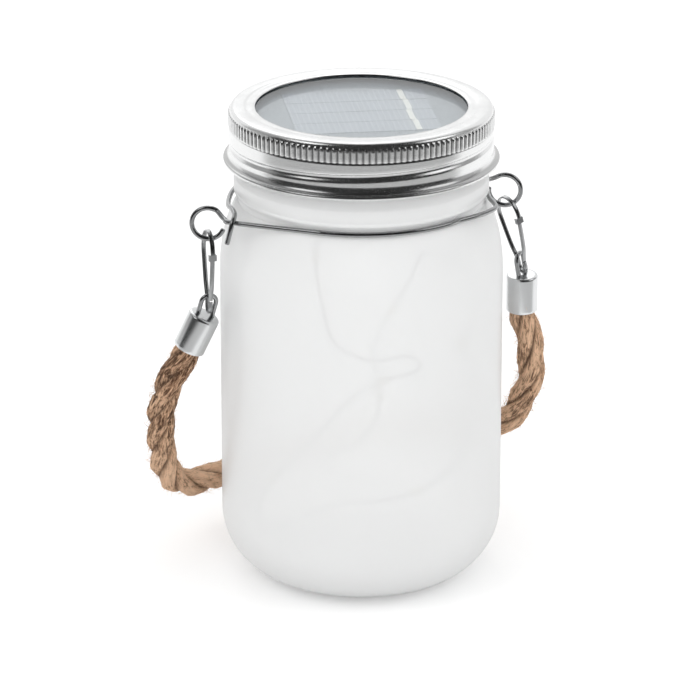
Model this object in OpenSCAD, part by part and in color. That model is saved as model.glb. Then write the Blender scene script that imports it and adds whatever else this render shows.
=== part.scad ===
// Solar mason jar lantern: frosted glass jar, screw band with a solar lid
// module, wire neck hanger, snap hooks and a jute rope handle.
// Millimetres, +Z up. The origin is the centre of the jar's foot. The X axis
// runs through both hanger eyes, and the rope hangs behind the jar, on +Y.

/* [Jar] */
// Outer radius of the jar's body
body_r = 39.7; // [38.5:0.1:44]
// Radius of the ring that the jar stands on
foot_r = 21.2; // [16:0.1:30]
// Height of the round corner between foot and body
corner_h = 19; // [10:0.5:26]
// Height where the straight body ends and the shoulder starts
shoulder_z = 90; // [80:0.5:96]
// Glass thickness of the wall
glass_t = 3; // [2:0.1:4]
// Glass thickness of the base
base_t = 5; // [3:0.1:9]
// Radius of the groove that the hanger wires lie in
groove_r = 34.4; // [33.8:0.1:34.8]
// Height of the groove
groove_z = 111.4; // [108:0.1:113]
// Radius of the bead above the groove
bead_r = 35.6; // [35:0.1:36]
// Height of the bead, from its lower to its upper edge
bead_h = 5; // [3:0.1:6]
// Radius of the glass between the threads
finish_r = 34.2; // [33.9:0.1:34.3]
// Radius of the mouth
mouth_r = 30; // [29.6:0.1:30.4]
// Height of the jar's rim
rim_z = 131.4; // [130.6:0.1:133]

/* [Screw band] */
// Outer radius over the knurled ribs
knurl_r = 37; // [36.9:0.05:38]
// Number of knurled ribs
knurl_count = 132; // [90:1:150]
// Height of the knurled strip
knurl_h = 4; // [2:0.1:4.5]
// Sheet thickness of the band
sheet_t = 0.5; // [0.3:0.05:0.6]
// Radius of the round window in the band
window_r = 29.5; // [20:0.1:30]
// Radius of the raised step on the top face
step_r = 32.5; // [31:0.1:34]
// How far the rolled hem at the band's foot stands out from its wall
hem_out = 1.75; // [1.25:0.05:2.5]
// Thickness of the rolled hem
hem_d = 1.25; // [0.8:0.05:1.6]
// Height of the band from hem to top
band_h = 15.7; // [15.2:0.1:16.5]
// Rise of the screw thread in one turn
thread_pitch = 5.08; // [4:0.01:6]
// Radial gap between the jar's thread and the band's thread
thread_gap = 0.15; // [0.1:0.01:0.3]

/* [Solar module] */
// Thickness of the clear window disc
disc_t = 1.5; // [0.8:0.1:1.7]
// Thickness of the rubber seal
seal_t = 1; // [0.6:0.1:1.4]
// Radial gap between the jar's mouth and the module's barrel
mouth_gap = 1.2; // [0.8:0.1:3]
// Depth of the barrel below its flange
barrel_h = 18; // [17.5:0.1:22]
// Wall of the module's plastic parts
shell_t = 1.6; // [1.2:0.1:2]
// Thickness of the bottom cover
cover_t = 2; // [1.4:0.1:2.6]
// Length of the solar cell strips
cell_len = 40; // [30:0.5:42]
// Width of one solar cell strip
cell_w = 9.2; // [6:0.1:9.6]
// Number of solar cell strips
cell_count = 4; // [2:1:4]
// Turn of the solar cells about the jar's axis
cell_turn = -12; // [-45:1:45]
// Diameter of the rechargeable cell
battery_d = 10.4; // [9:0.1:10.6]
// Length of the rechargeable cell's can
battery_len = 29; // [24:0.5:34]
// Travel of the switch
switch_travel = 2; // [1:0.1:2.4]

/* [Hanger wires] */
// Diameter of the hanger wire
wire_d = 1.4; // [1:0.05:1.6]
// Centreline radius of the two eyes
eye_r = 4.5; // [4:0.1:5]
// Distance from the jar's wall to the centre of the left eye
eye_out_left = 5.3; // [4.5:0.1:7]
// Distance from the jar's wall to the centre of the right eye
eye_out_right = 3.3; // [2.9:0.1:6]
// Height of the eyes' centres
eye_z = 108; // [106:0.1:110]
// Turn of the eyes' planes away from the X axis
eye_turn = 24; // [15:1:28]

/* [Snap hooks] */
// Length of a snap hook
snap_len = 24; // [22:0.1:24.2]
// Width of the strip that a snap hook is bent from
strip_w = 1.3; // [1:0.05:1.5]
// Thickness of the strip
strip_t = 0.4; // [0.3:0.05:0.5]
// Height of the hook's inside top above the eye wire's centreline
snap_rise = 2.4; // [2.2:0.1:2.6]
// Outward lean of the right snap hook
snap_lean = 15; // [12:1:16]
// Turn of the right snap hook about its own length
snap_turn = 200; // [194:1:202]

/* [Handle] */
// Outer diameter of the metal end caps
cap_d = 9; // [8.6:0.1:10]
// Length of the end caps
cap_len = 11; // [9:0.1:13]
// Wall of the end caps
cap_wall = 0.5; // [0.3:0.05:0.6]
// Diameter of the rope
rope_d = 7.4; // [6:0.1:7.4]
// Wire diameter of the cap eyes
loop_d = 1.3; // [1:0.05:1.5]
// Inside width of the cap eyes
loop_w = 3; // [2.8:0.1:3.4]
// Height of the cap eyes above their caps
loop_h = 7; // [6:0.1:8]

/* [Light string] */
// Diameter of the coated light string wire
string_d = 0.9; // [0.6:0.1:1.2]
// Length of one light
light_len = 4.2; // [3:0.1:6]
// Diameter of one light
light_d = 2.4; // [1.8:0.1:3]

/* [Hidden] */
$fn = 96;

// Gap between faces that rest on each other, and around parts that slide
seat_gap = 0.05;
slide_gap = 0.15;

// Jar: bead, thread and rounding
neck_step = 1.9;
bead_z = groove_z + neck_step;
bead_top = bead_z + bead_h;
crease_z = bead_z + 1.2;
crease_depth = 0.25;
thread_h = 1.3;
thread_r = finish_r + thread_h;
thread_w = 1.4;
thread_top = 1.9;
rim_round = 1;
foot_w = 2.7;
push_up = 1;

// Lid stack, from the jar's rim upward
seal_z = rim_z + seat_gap;
flange_z = seal_z + seal_t;
flange_t = 1.5;
recess_h = 1.35;
window_z = flange_z + flange_t + recess_h + seat_gap;
land_drop = 0.25;
band_top = window_z + disc_t + slide_gap + sheet_t + land_drop;
hem_z = band_top - band_h;
top_round = 1.5;
knurl_root = knurl_r - 0.4;
wall_r = knurl_r - 0.25;
hem_r = wall_r + hem_out;
knurl_top = band_top - top_round;
knurl_foot = knurl_top - knurl_h;
ridge_r = thread_r + thread_gap;
groove_cut = 0.55;
ridge_w = 2.7;
ridge_drop = 7.9;
band_in_r = wall_r - sheet_t;
disc_r = band_in_r - 0.5;

// Module: barrel, cover, battery and board
barrel_r = mouth_r - mouth_gap;
barrel_in_r = barrel_r - shell_t;
barrel_z = flange_z - barrel_h;
cover_z = barrel_z - cover_t;
flange_r = finish_r + 1.2;
recess_r = flange_r - shell_t;
board_r = recess_r - slide_gap;
board_t = 1;
cell_t = 0.2;
cell_gap = 0.3;
cell_shift = 1.8;
ribbon_in = 6.2;
ribbon_x = cell_len / 2 - ribbon_in;
ribbon_w = 1.6;
battery_r = battery_d / 2;
battery_y = -9;
battery_z = barrel_z + 0.8 + battery_r;
contact_t = 0.4;
contact_gap = 3;
post_h = 4;
post_x = 13.2;
post_r = 1.6;
saddle_x = 9;
saddle_t = 2;
saddle_w = 12;
nub_h = 1;
nub_r = 1.8;
board_y = 10;
circuit_l = 30;
circuit_w = 14;
circuit_z = barrel_z + post_h;
switch_x = 7;
switch_slot = 1.6;
knob_l = 2;
knob_w = 1.6;
knob_out = 1;
string_x = -7;
grommet_r = 2.5;
grommet_lip = 1;
screw_ring = barrel_in_r - 2.2;
boss_r = 2.6;
boss_h = 10;
head_r = 2.3;
head_h = 1.1;
shank_r = 1;
shank_len = 7.5;
cross_l = 2.8;
cross_w = 0.5;
cross_d = 0.6;

// Hanger wires, laid out for a body of radius laid_r and moved out with a wider one
laid_r = 39.7;
out_by = body_r - laid_r;
eye_reach_left = body_r + eye_out_left;
eye_reach_right = body_r + eye_out_right;
ring_r = groove_r + wire_d / 2 + 0.1;
ring_from_front = 228;
ring_from_back = 216;
ring_to = 300;
eye_start = 125;
eye_tip_left = -160;
eye_tip_right = -190;
// Routes of the hooks from the groove to their free ends, over the other wire's shank
hook_route_front = [
    [22.5, -29, 111.5], [27.5, -26.5, 111.5], [31, -23.5, 111.5], [32, -19.5, 111.5],
    [32.5, -15, 111.5], [33.5, -10.5, 112], [35.5, -4.5, 112.5], [37, 2, 113],
    [38.5, 7, 112.5], [40, 9.5, 110.5], [41, 10.5, 105]
];
hook_route_back = [
    [25.4, -25.4, 111.5], [31.4, -17.3, 111.5], [34.5, -11.5, 112], [37, -6, 112],
    [39, 0, 112.5], [39.5, 5, 113], [40, 8.5, 112.5], [41.5, 10.5, 110.5], [43, 10.5, 105]
];

// Handle
pivot_z = eye_z - eye_r;
snap_top_z = pivot_z + snap_rise;
bulb_w = 1.3;
pear_w = 4.2;
latch_d = 5.9;
latch_len = 1.7;
gate_gap = 0.05;
keeper_t = 0.25;
keeper_w = strip_w + 2 * slide_gap + 2 * keeper_t;
// Tops of the caps, set off from the lower ends of their snap hooks
cap_off_left = [-0.8, 1.3, -1.1];
cap_off_right = [-0.41, 0.4, -0.62];
cap_top_left = [-eye_reach_left, 0, snap_top_z - snap_len] + cap_off_left;
cap_top_right = [eye_reach_right + snap_len * sin(snap_lean), 0,
                 snap_top_z - snap_len * cos(snap_lean)] + cap_off_right;
cap_lean_left = [12, 22];
cap_lean_right = [5, -2];
loop_lean_left = [12, 12];
loop_lean_right = [0, -10];
loop_turn_left = 0;
loop_turn_right = 42;
loop_r = (loop_w + loop_d) / 2;
cap_round = 0.8;
rope_depth = 7;

// Route of the rope between the mouths of its two end caps
rope_route = [
    [-53.5, 6.5, 62.5], [-55.2, 10.5, 54], [-54.8, 15.5, 45], [-53, 20.5, 35.5], [-50.3, 26, 26.5],
    [-45.5, 31, 20], [-38, 35.5, 17], [-29.5, 39.5, 16.7], [-20, 42.7, 17.6], [-10, 44.5, 19],
    [0, 45, 20.5], [10, 44.5, 22], [20, 42.5, 23], [30, 38.5, 24], [39, 33, 25],
    [46, 26, 27], [50.5, 19, 30], [52.5, 13, 36], [53.5, 8, 43.5], [53.5, 4.5, 51],
    [52.5, 2.5, 58], [51, 2, 65]
];

// Route of the light string, from the circuit board down into the jar
string_route = [
    [-10, 2, 107], [-17, -14, 106], [-21, -22, 103], [-21, -26, 93], [-18, -29, 80],
    [-9, -33, 75], [2, -33, 75], [4, -34, 71], [-6, -34, 69], [-15, -31, 63],
    [-22, -27, 53], [-27, -21, 44], [-31, -15, 36], [-33, -10, 28], [-32, -13, 20],
    [-26, -23, 27], [-18, -29, 32], [-8, -33, 33], [4, -34, 35], [13, -31, 38],
    [21, -27, 44], [24, -24, 52], [25, -22, 64], [19, -28, 75], [25, -23, 84],
    [24, -18, 94], [14, -24, 100], [6, -31, 103], [2, -33, 97], [-2, -30, 88],
    [-4, -25, 80], [-5, -24, 72], [-6, -31, 64], [-8, -33, 57], [-13, -31, 50],
    [-20, -27, 45], [-14, -14, 36], [2, -2, 26], [14, 10, 16]
];
// Places along the light string that carry a light
light_at = [4, 10, 14, 20, 25, 31, 34];

// ---- Curves ----

// Quarter ellipse from [r0, z0], where it runs outward, to [r1, z1], where it is upright
function corner(r0, z0, r1, z1) =
    [for (a = [0:10:90]) [r0 + (r1 - r0) * sin(a), z1 - (z1 - z0) * cos(a)]];

// Shoulder from the upright wall at [r1, z0] in to the neck at [r0, z1]
function shoulder(r1, z0, r0, z1) =
    [for (a = [0:10:90]) [r0 + (r1 - r0) * pow(cos(a), 1.5), z0 + (z1 - z0) * sin(a)]];

// Points of an arc about [cr, cz]
function arc(cr, cz, r, from, to, n) =
    [for (k = [0:n]) let (a = from + (to - from) * k / n) [cr + r * cos(a), cz + r * sin(a)]];

// Smooth curve through the points of p, with n steps between two of them
function spline(p, n) = concat(
    [for (k = [0:len(p) - 2]) for (j = [0:n - 1])
        let (t = j / n, a = p[max(k - 1, 0)], b = p[k], c = p[k + 1], d = p[min(k + 2, len(p) - 1)])
        (2 * b + (c - a) * t + (2 * a - 5 * b + 4 * c - d) * t * t
            + (3 * b - a - 3 * c + d) * t * t * t) / 2],
    [p[len(p) - 1]]);

function unit(v) = v / norm(v);

// Direction in which a cap that leans by a = [about X, about Y] points down
function lean_dir(a) = [-cos(a[0]) * sin(a[1]), sin(a[0]), -cos(a[0]) * cos(a[1])];

// Tangent of a route at point k
function heading(p, k) = unit(p[min(k + 1, len(p) - 1)] - p[max(k - 1, 0)]);

// Side vectors carried along a route without twist
function carried(p, k, v) =
    let (t = heading(p, k), s = unit(v - t * (v * t)))
    k == len(p) - 1 ? [s] : concat([s], carried(p, k + 1, s));

// ---- Shared shapes ----

// Tube of diameter d swept along a route, with flat ends
module swept_tube(p, d, sides, start_side) {
    s = carried(p, 0, start_side);
    points = [for (k = [0:len(p) - 1]) for (j = [0:sides - 1])
        let (a = 360 * j / sides, n = cross(heading(p, k), s[k]))
        p[k] + (s[k] * cos(a) + n * sin(a)) * d / 2];
    last = (len(p) - 1) * sides;
    faces = concat(
        [[for (j = [0:sides - 1]) j]],
        [for (k = [0:len(p) - 2]) for (j = [0:sides - 1]) let (i = (j + 1) % sides)
            [k * sides + j, (k + 1) * sides + j, (k + 1) * sides + i, k * sides + i]],
        [[for (j = [sides - 1:-1:0]) last + j]]);
    polyhedron(points, faces, convexity = 10);
}

// Edge of a bent strip, off to one side of the outline p
function strip_edge(p, off) = [for (k = [0:len(p) - 1])
    let (s = unit(p[min(k + 1, len(p) - 1)] - p[min(k, len(p) - 2)]),
         r = unit(p[max(k, 1)] - p[max(k - 1, 0)]), h = unit(r + s))
    p[k] + [-h[1], h[0]] * off / (h * s)];

function reversed(p) = [for (k = [len(p) - 1:-1:0]) p[k]];

// Flat strip bent through the points of an outline, standing on edge
module bent_strip(p, t, w) linear_extrude(w, center = true)
    polygon(concat(strip_edge(p, t / 2), reversed(strip_edge(p, -t / 2))));

// Screw ridge made of tilted arcs: section from r0 to r1, wide at the base
module helix_ridge(r0, r1, w0, w1, z0, from, to) {
    span = 80;
    step = span + 4;
    tilt = atan(thread_pitch / (2 * PI * (r0 + r1) / 2));
    for (a = [from + step / 2:step:to])
        rotate([0, 0, a]) translate([0, 0, z0 + thread_pitch * (a - from) / 360])
            rotate([tilt, 0, 0]) rotate([0, 0, -span / 2])
                rotate_extrude(angle = span)
                    polygon([[r0, -w0 / 2], [r1, -w1 / 2], [r1, w1 / 2], [r0, w0 / 2]]);
}

// ---- Jar ----

module jar_section() {
    outside = concat(
        [[0, push_up], [foot_r - foot_w - 2, push_up], [foot_r - foot_w, 0]],
        corner(foot_r, 0, body_r, corner_h),
        shoulder(body_r, shoulder_z, groove_r, groove_z - 0.6),
        [[groove_r, groove_z + 0.9], [bead_r - 0.35, bead_z], [bead_r, bead_z + 0.4],
         [bead_r, crease_z - 0.3], [bead_r - crease_depth, crease_z],
         [bead_r, crease_z + 0.3], [bead_r, bead_top - 0.4],
         [bead_r - 0.3, bead_top + 0.2], [finish_r + 0.5, bead_top + 2], [finish_r, bead_top + 3],
         [finish_r, rim_z - rim_round]],
        arc(finish_r - rim_round, rim_z - rim_round, rim_round, 15, 90, 5),
        [[0, rim_z]]);
    inside = concat(
        [[0, base_t + push_up], [foot_r - foot_w - 4, base_t]],
        corner(foot_r - foot_w, base_t, body_r - glass_t, corner_h + 1),
        shoulder(body_r - glass_t, shoulder_z - 2, mouth_r, groove_z),
        [[mouth_r, rim_z + 1], [0, rim_z + 1]]);
    difference() {
        polygon(outside);
        polygon(inside);
    }
}

module glass_jar() color([0.9, 0.92, 0.93, 0.6]) {
    rotate_extrude() jar_section();
    helix_ridge(finish_r - 0.3, thread_r, thread_w + 0.6, thread_w / 2,
                rim_z - thread_top - 1.25 * thread_pitch, 70, 510);
}

// ---- Hanger wires ----

// Point of an eye on -X at the given reach, a degrees up from its outermost point
function eye_point(reach, a) =
    [-reach - eye_r * cos(eye_turn) * cos(a), eye_r * sin(eye_turn) * cos(a), eye_z + eye_r * sin(a)];

function ring_point(a) = [ring_r * cos(a), ring_r * sin(a), groove_z];

// A hook's route, moved out along X as far at its end as the body is wider
function moved_out(p) = [for (k = [0:len(p) - 1]) p[k] + [out_by * (k + 1) / len(p), 0, 0]];

// Route of one wire: its eye on -X, the shank, the groove, and the hook on +X
function wire_route(reach, tip, from, hook) = concat(
    [for (a = [tip:15:eye_start - 1]) eye_point(reach, a)],
    spline([eye_point(reach, eye_start), [3.4 - reach, -4.5, groove_z - 1.2],
            [4.8 - reach, -9, groove_z - 1], ring_point(from)], 3),
    [for (a = [from + 6:6:ring_to - 1]) ring_point(a)],
    spline(concat([ring_point(ring_to)], moved_out(hook)), 3));

module neck_wire_front() color("silver")
    swept_tube(wire_route(eye_reach_left, eye_tip_left, ring_from_front, hook_route_front), wire_d, 12, [0, 1, 0]);

module neck_wire_back() color("silver") rotate([0, 0, 180])
    swept_tube(wire_route(eye_reach_right, eye_tip_right, ring_from_back, hook_route_back), wire_d, 12, [0, 1, 0]);

// ---- Light string ----

function string_points() = concat(
    [[string_x, board_y, circuit_z], [string_x, board_y, cover_z - grommet_lip - 3]],
    string_route);

module light_string_wire() color("white")
    swept_tube(string_points(), string_d, 8, [1, 0, 0]);

module light_beads() color("khaki") {
    p = string_points();
    for (k = light_at) {
        v = heading(p, k);
        translate(p[k]) rotate([0, acos(v[2]), atan2(v[1], v[0])]) {
            cylinder(h = light_len - light_d, d = light_d, center = true, $fn = 24);
            for (s = [-1, 1]) translate([0, 0, s * (light_len - light_d) / 2])
                sphere(d = light_d, $fn = 24);
        }
    }
}

// ---- Solar module ----

module sealing_gasket() color("dimgray")
    translate([0, 0, seal_z]) difference() {
        cylinder(h = seal_t, r = finish_r + 0.4);
        translate([0, 0, -1]) cylinder(h = seal_t + 2, r = mouth_r + 0.6);
    }

module module_housing() color("gainsboro") difference() {
    union() {
        translate([0, 0, flange_z]) cylinder(h = flange_t + recess_h, r = flange_r);
        translate([0, 0, barrel_z]) cylinder(h = barrel_h + flange_t, r = barrel_r);
    }
    difference() {
        translate([0, 0, barrel_z - 1]) cylinder(h = barrel_h + flange_t + 2, r = barrel_in_r);
        for (a = [90, 210, 330]) rotate([0, 0, a]) translate([screw_ring, 0, barrel_z - 1])
            cylinder(h = boss_h + 1, r = boss_r);
    }
    translate([0, 0, flange_z + flange_t]) cylinder(h = recess_h + 1, r = recess_r);
    for (a = [90, 210, 330]) rotate([0, 0, a]) translate([screw_ring, 0, barrel_z - 1])
        cylinder(h = shank_len + 0.5, r = shank_r + seat_gap);
}

module solar_board() color([0.12, 0.14, 0.2])
    translate([0, 0, flange_z + flange_t]) cylinder(h = board_t, r = board_r);

module solar_cells() color([0.55, 0.6, 0.68])
    translate([0, 0, flange_z + flange_t + board_t]) rotate([0, 0, cell_turn])
        for (k = [0:cell_count - 1])
            translate([-cell_len / 2, cell_shift + (k - cell_count / 2) * (cell_w + cell_gap), 0])
                cube([cell_len, cell_w, cell_t]);

module tab_ribbon() color("silver")
    translate([0, 0, flange_z + flange_t + board_t + cell_t]) rotate([0, 0, cell_turn])
        for (k = [0:cell_count - 1])
            translate([ribbon_x - ribbon_w / 2 - 0.4 * (k % 2),
                       cell_shift + (k - cell_count / 2) * (cell_w + cell_gap), 0])
                cube([ribbon_w, cell_w, 0.1]);

module housing_cover() color("whitesmoke") difference() {
    union() {
        translate([0, 0, cover_z]) cylinder(h = cover_t, r = barrel_r);
        for (s = [-1, 1])
            translate([s * saddle_x - saddle_t / 2, battery_y - saddle_w / 2, barrel_z - 0.5])
                cube([saddle_t, saddle_w, battery_z - barrel_z - 1]);
        for (x = [-post_x, post_x]) translate([x, board_y, barrel_z - 0.5])
            cylinder(h = post_h + 0.5, r = post_r);
    }
    translate([-barrel_r, battery_y, battery_z]) rotate([0, 90, 0])
        cylinder(h = 2 * barrel_r, r = battery_r + slide_gap);
    for (a = [90, 210, 330]) rotate([0, 0, a]) translate([screw_ring, 0, cover_z - 1]) {
        cylinder(h = cover_t + 2, r = shank_r + 0.4);
        cylinder(h = 1 + 0.1 + head_h, r = head_r + 0.2);
    }
    translate([string_x, board_y, cover_z - 1]) cylinder(h = cover_t + 2, r = grommet_r);
    translate([switch_x - (knob_l + switch_travel) / 2 - slide_gap,
               board_y - knob_w / 2 - slide_gap, cover_z - 1])
        cube([knob_l + switch_travel + 2 * slide_gap, knob_w + 2 * slide_gap, cover_t + 2]);
}

module cover_screws() color("silver")
    for (a = [90, 210, 330]) rotate([0, 0, a]) translate([screw_ring, 0, cover_z + 0.1]) difference() {
        union() {
            cylinder(h = head_h, r = head_r);
            cylinder(h = shank_len, r = shank_r);
        }
        for (t = [0, 90]) rotate([0, 0, t]) translate([-cross_l / 2, -cross_w / 2, -1])
            cube([cross_l, cross_w, 1 + cross_d]);
    }

module circuit_board() color("darkgreen")
    translate([-circuit_l / 2, board_y - circuit_w / 2, circuit_z]) cube([circuit_l, circuit_w, board_t]);

module board_parts() color("black") translate([0, board_y, circuit_z + board_t]) {
    translate([-2.5, -2, 0]) cube([5, 4, 1.5]);
    translate([-11, 0, 0]) cylinder(h = 5, r = 2.5, $fn = 48);
    translate([9, -4, 0]) cylinder(h = 3, r = 2, $fn = 48);
    translate([5.5, 2, 0]) cube([3, 1.5, 1]);
}

module panel_leads() color("firebrick")
    for (x = [-6, -3.5]) translate([x, board_y - 5, circuit_z + board_t])
        cylinder(h = flange_z + flange_t - circuit_z - board_t, r = 0.5, $fn = 24);

module battery_cell() color("mediumseagreen")
    translate([-battery_len / 2, battery_y, battery_z]) rotate([0, 90, 0]) {
        cylinder(h = battery_len - nub_h, r = battery_r);
        cylinder(h = battery_len, r = nub_r);
    }

module battery_plate() color("silver")
    translate([battery_len / 2 + seat_gap, battery_y - 4, barrel_z]) cube([contact_t, 8, 9]);

module battery_spring() color("silver") {
    turns = 3;
    steps = 36;
    length = contact_gap - seat_gap;
    x0 = -battery_len / 2 - seat_gap;
    coil = [for (k = [0:steps]) let (a = 360 * turns * k / steps, r = 1.6 + 1.8 * k / steps)
        [x0 - 0.3 - (length - 0.5) * k / steps, battery_y + r * cos(a), battery_z + r * sin(a)]];
    swept_tube(coil, 0.5, 6, [1, 0, 0]);
    translate([x0 - contact_gap - contact_t, battery_y - 4, barrel_z]) cube([contact_t, 8, 9]);
}

module switch_body() color("black") difference() {
    translate([switch_x - 4.3, board_y - 2, barrel_z + seat_gap]) cube([8.6, 4, post_h - seat_gap]);
    translate([switch_x - (knob_l + switch_travel) / 2 - slide_gap,
               board_y - knob_w / 2 - slide_gap, barrel_z - 1])
        cube([knob_l + switch_travel + 2 * slide_gap, knob_w + 2 * slide_gap, 1 + switch_slot + slide_gap]);
}

module switch_slider() color("black")
    translate([switch_x - (knob_l + switch_travel) / 2, board_y - knob_w / 2, cover_z - knob_out])
        cube([knob_l, knob_w, knob_out + cover_t + switch_slot]);

module string_grommet() color("black") translate([string_x, board_y, 0]) difference() {
    union() {
        translate([0, 0, cover_z - grommet_lip]) cylinder(h = grommet_lip, r = grommet_r + 1.2);
        translate([0, 0, cover_z - 0.5]) cylinder(h = cover_t + 1, r = grommet_r - seat_gap);
    }
    translate([0, 0, cover_z - grommet_lip - 1]) cylinder(h = 10, r = string_d / 2 + slide_gap);
}

module window_disc() color([0.75, 0.8, 0.85, 0.4])
    translate([0, 0, window_z]) cylinder(h = disc_t, r = disc_r);

// ---- Screw band ----

// Section of the band's top: land, raised step and rounded edge
module band_top_section() polygon(concat(
    [[window_r, band_top - sheet_t - land_drop], [window_r, band_top - land_drop],
     [step_r - 0.3, band_top - land_drop], [step_r, band_top]],
    arc(knurl_root - top_round, knurl_top, top_round, 90, 0, 6),
    arc(knurl_root - top_round, knurl_top, top_round - sheet_t, 0, 90, 6),
    [[step_r, band_top - sheet_t], [step_r - 0.3, band_top - sheet_t - land_drop]]));

// Section of the band's wall below the knurled strip, with its rolled hem
module band_wall_section() {
    polygon([[knurl_root, knurl_foot], [wall_r, knurl_foot - 0.15], [wall_r, hem_z + 3.2],
             [wall_r + 0.3, hem_z + 2.2], [hem_r - hem_d * 0.6, hem_z + hem_d * 0.9],
             [hem_r - hem_d * 0.8, hem_z + hem_d * 0.4], [band_in_r + 0.4, hem_z + 1.9],
             [band_in_r, hem_z + 3.1], [band_in_r, knurl_foot - 0.5],
             [knurl_root - sheet_t, knurl_foot]]);
    translate([hem_r - hem_d / 2, hem_z + hem_d / 2]) circle(d = hem_d, $fn = 32);
}

// One rib: [part of the pitch, height above the root]
rib = [[0.1, 0], [0.22, 0.28], [0.4, 0.4], [0.6, 0.4], [0.78, 0.28], [0.9, 0]];

module screw_band() color("silver") {
    ridge_z = knurl_foot - ridge_drop;
    rotate_extrude() band_top_section();
    difference() {
        union() {
            rotate_extrude() band_wall_section();
            helix_ridge(band_in_r + 0.15, ridge_r, ridge_w - 0.6, ridge_w / 3, ridge_z, 340, 700);
        }
        helix_ridge(wall_r - groove_cut, wall_r + 0.5, ridge_w - 1, ridge_w, ridge_z, 340, 700);
    }
    translate([0, 0, knurl_foot]) linear_extrude(knurl_h) difference() {
        polygon([for (k = [0:knurl_count - 1]) for (p = rib)
            let (a = 360 * (k + p[0]) / knurl_count, r = knurl_root + p[1]) [r * cos(a), r * sin(a)]]);
        circle(r = knurl_root - sheet_t);
    }
}

// ---- Snap hooks ----

// Bent outline of the strip: [sideways, down] from the top of the loop
function pear_side() = [[1.2, 0.25], [2.3, 0.9], [3.2, 2], [3.9, 3.8], [pear_w, latch_d]];
function bulb_side() = [[2.6, snap_len - 8.5], [1.6, snap_len - 5.3], [bulb_w + 0.05, snap_len - 3.5],
                        [bulb_w, snap_len - 1.7], [0.8, snap_len - 0.4]];
function to_plane(p, side) = [for (k = p) [side * k[0], -k[1]]];
// Places a hook's own frame: its top at the eye, its length along -Z
module at_snap(reach, lean, turn)
    translate([reach, 0, snap_top_z]) rotate([0, -lean, 0]) rotate([0, 0, turn]) children();

// Turns an outline drawn in XY up into the plane across the strip's width
module on_edge() rotate([90, 0, 90]) children();

gate_root = [bulb_w + 0.05, snap_len - 3.9];

module snap_hook() {
    far_leg = concat(reversed(bulb_side()), [[3.7, 9.5]], reversed(pear_side()));
    outline = concat(
        [[bulb_w, -(gate_root[1] + strip_t + gate_gap)], [bulb_w, -(snap_len - 1.7)],
         [0.8, -(snap_len - 0.4)], [0, -snap_len]],
        to_plane(far_leg, -1),
        [[0, 0]], to_plane(pear_side(), 1), [[pear_w, -(latch_d + 0.4)]]);
    on_edge() bent_strip(outline, strip_t, strip_w);
    translate([0, 0, -latch_d - latch_len]) linear_extrude(latch_len) difference() {
        translate([-keeper_w / 2, pear_w - 1]) square([keeper_w, 1 + keeper_t]);
        translate([keeper_t - keeper_w / 2, pear_w - 2]) square([keeper_w - 2 * keeper_t, 2 - keeper_t]);
    }
}

module snap_gate() {
    outline = [[gate_root[0], -gate_root[1]], [1.75, -(snap_len - 5.3)], [2.7, -(snap_len - 8.5)],
               [3.5, -9.5], [pear_w - strip_t - 0.1, -(latch_d + 0.2)]];
    on_edge() bent_strip(outline, strip_t, strip_w);
}

module snap_hook_left() color("silver") at_snap(-eye_reach_left, 0, 180) snap_hook();
module snap_gate_left() color("silver") at_snap(-eye_reach_left, 0, 180) snap_gate();
module snap_hook_right() color("silver") at_snap(eye_reach_right, snap_lean, snap_turn) snap_hook();
module snap_gate_right() color("silver") at_snap(eye_reach_right, snap_lean, snap_turn) snap_gate();

// ---- Handle ----

module at_cap(top, lean, turn) translate(top) rotate([lean[0], lean[1], 0]) rotate([0, 0, turn]) children();

module end_cap() translate([0, 0, -cap_len]) rotate_extrude() difference() {
    square([cap_d / 2, cap_len]);
    translate([-1, -1]) square([cap_d / 2 - cap_wall + 1, cap_len - 2 * cap_wall + 1]);
    translate([cap_d / 2 - cap_round, cap_len - cap_round]) difference() {
        square(cap_round + 1);
        circle(r = cap_round, $fn = 48);
    }
}

// Wire eye whose two legs stand in a cap's top
module cap_eye() {
    leg = loop_h - loop_r - loop_d / 2;
    for (s = [-1, 1]) translate([s * loop_r, 0, -2 * cap_wall])
        cylinder(h = leg + 2 * cap_wall, d = loop_d, $fn = 32);
    translate([0, 0, leg]) rotate([90, 0, 0]) rotate_extrude(angle = 180)
        translate([loop_r, 0]) circle(d = loop_d, $fn = 32);
}

module fitted_cap(top, lean, loop_lean, loop_turn) difference() {
    at_cap(top, lean, 0) end_cap();
    at_cap(top, loop_lean, loop_turn) for (s = [-1, 1]) translate([s * loop_r, 0, -3])
        cylinder(h = 6, d = loop_d + 2 * seat_gap, $fn = 32);
}

module end_cap_left() color("silver")
    fitted_cap(cap_top_left, cap_lean_left, loop_lean_left, loop_turn_left);
module end_cap_right() color("silver")
    fitted_cap(cap_top_right, cap_lean_right, loop_lean_right, loop_turn_right);
module cap_eye_left() color("silver") at_cap(cap_top_left, loop_lean_left, loop_turn_left) cap_eye();
module cap_eye_right() color("silver") at_cap(cap_top_right, loop_lean_right, loop_turn_right) cap_eye();

function rope_points() = concat(
    [cap_top_left + lean_dir(cap_lean_left) * (cap_len - rope_depth),
     cap_top_left + lean_dir(cap_lean_left) * (cap_len + 0.5)],
    [for (p = rope_route) p + out_by * unit([p[0], p[1], 0])],
    [cap_top_right + lean_dir(cap_lean_right) * (cap_len + 0.5),
     cap_top_right + lean_dir(cap_lean_right) * (cap_len - rope_depth)]);

module rope() color("peru") swept_tube(rope_points(), rope_d, 12, [0, 1, 0]);

// ---- Nodes ----

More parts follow.
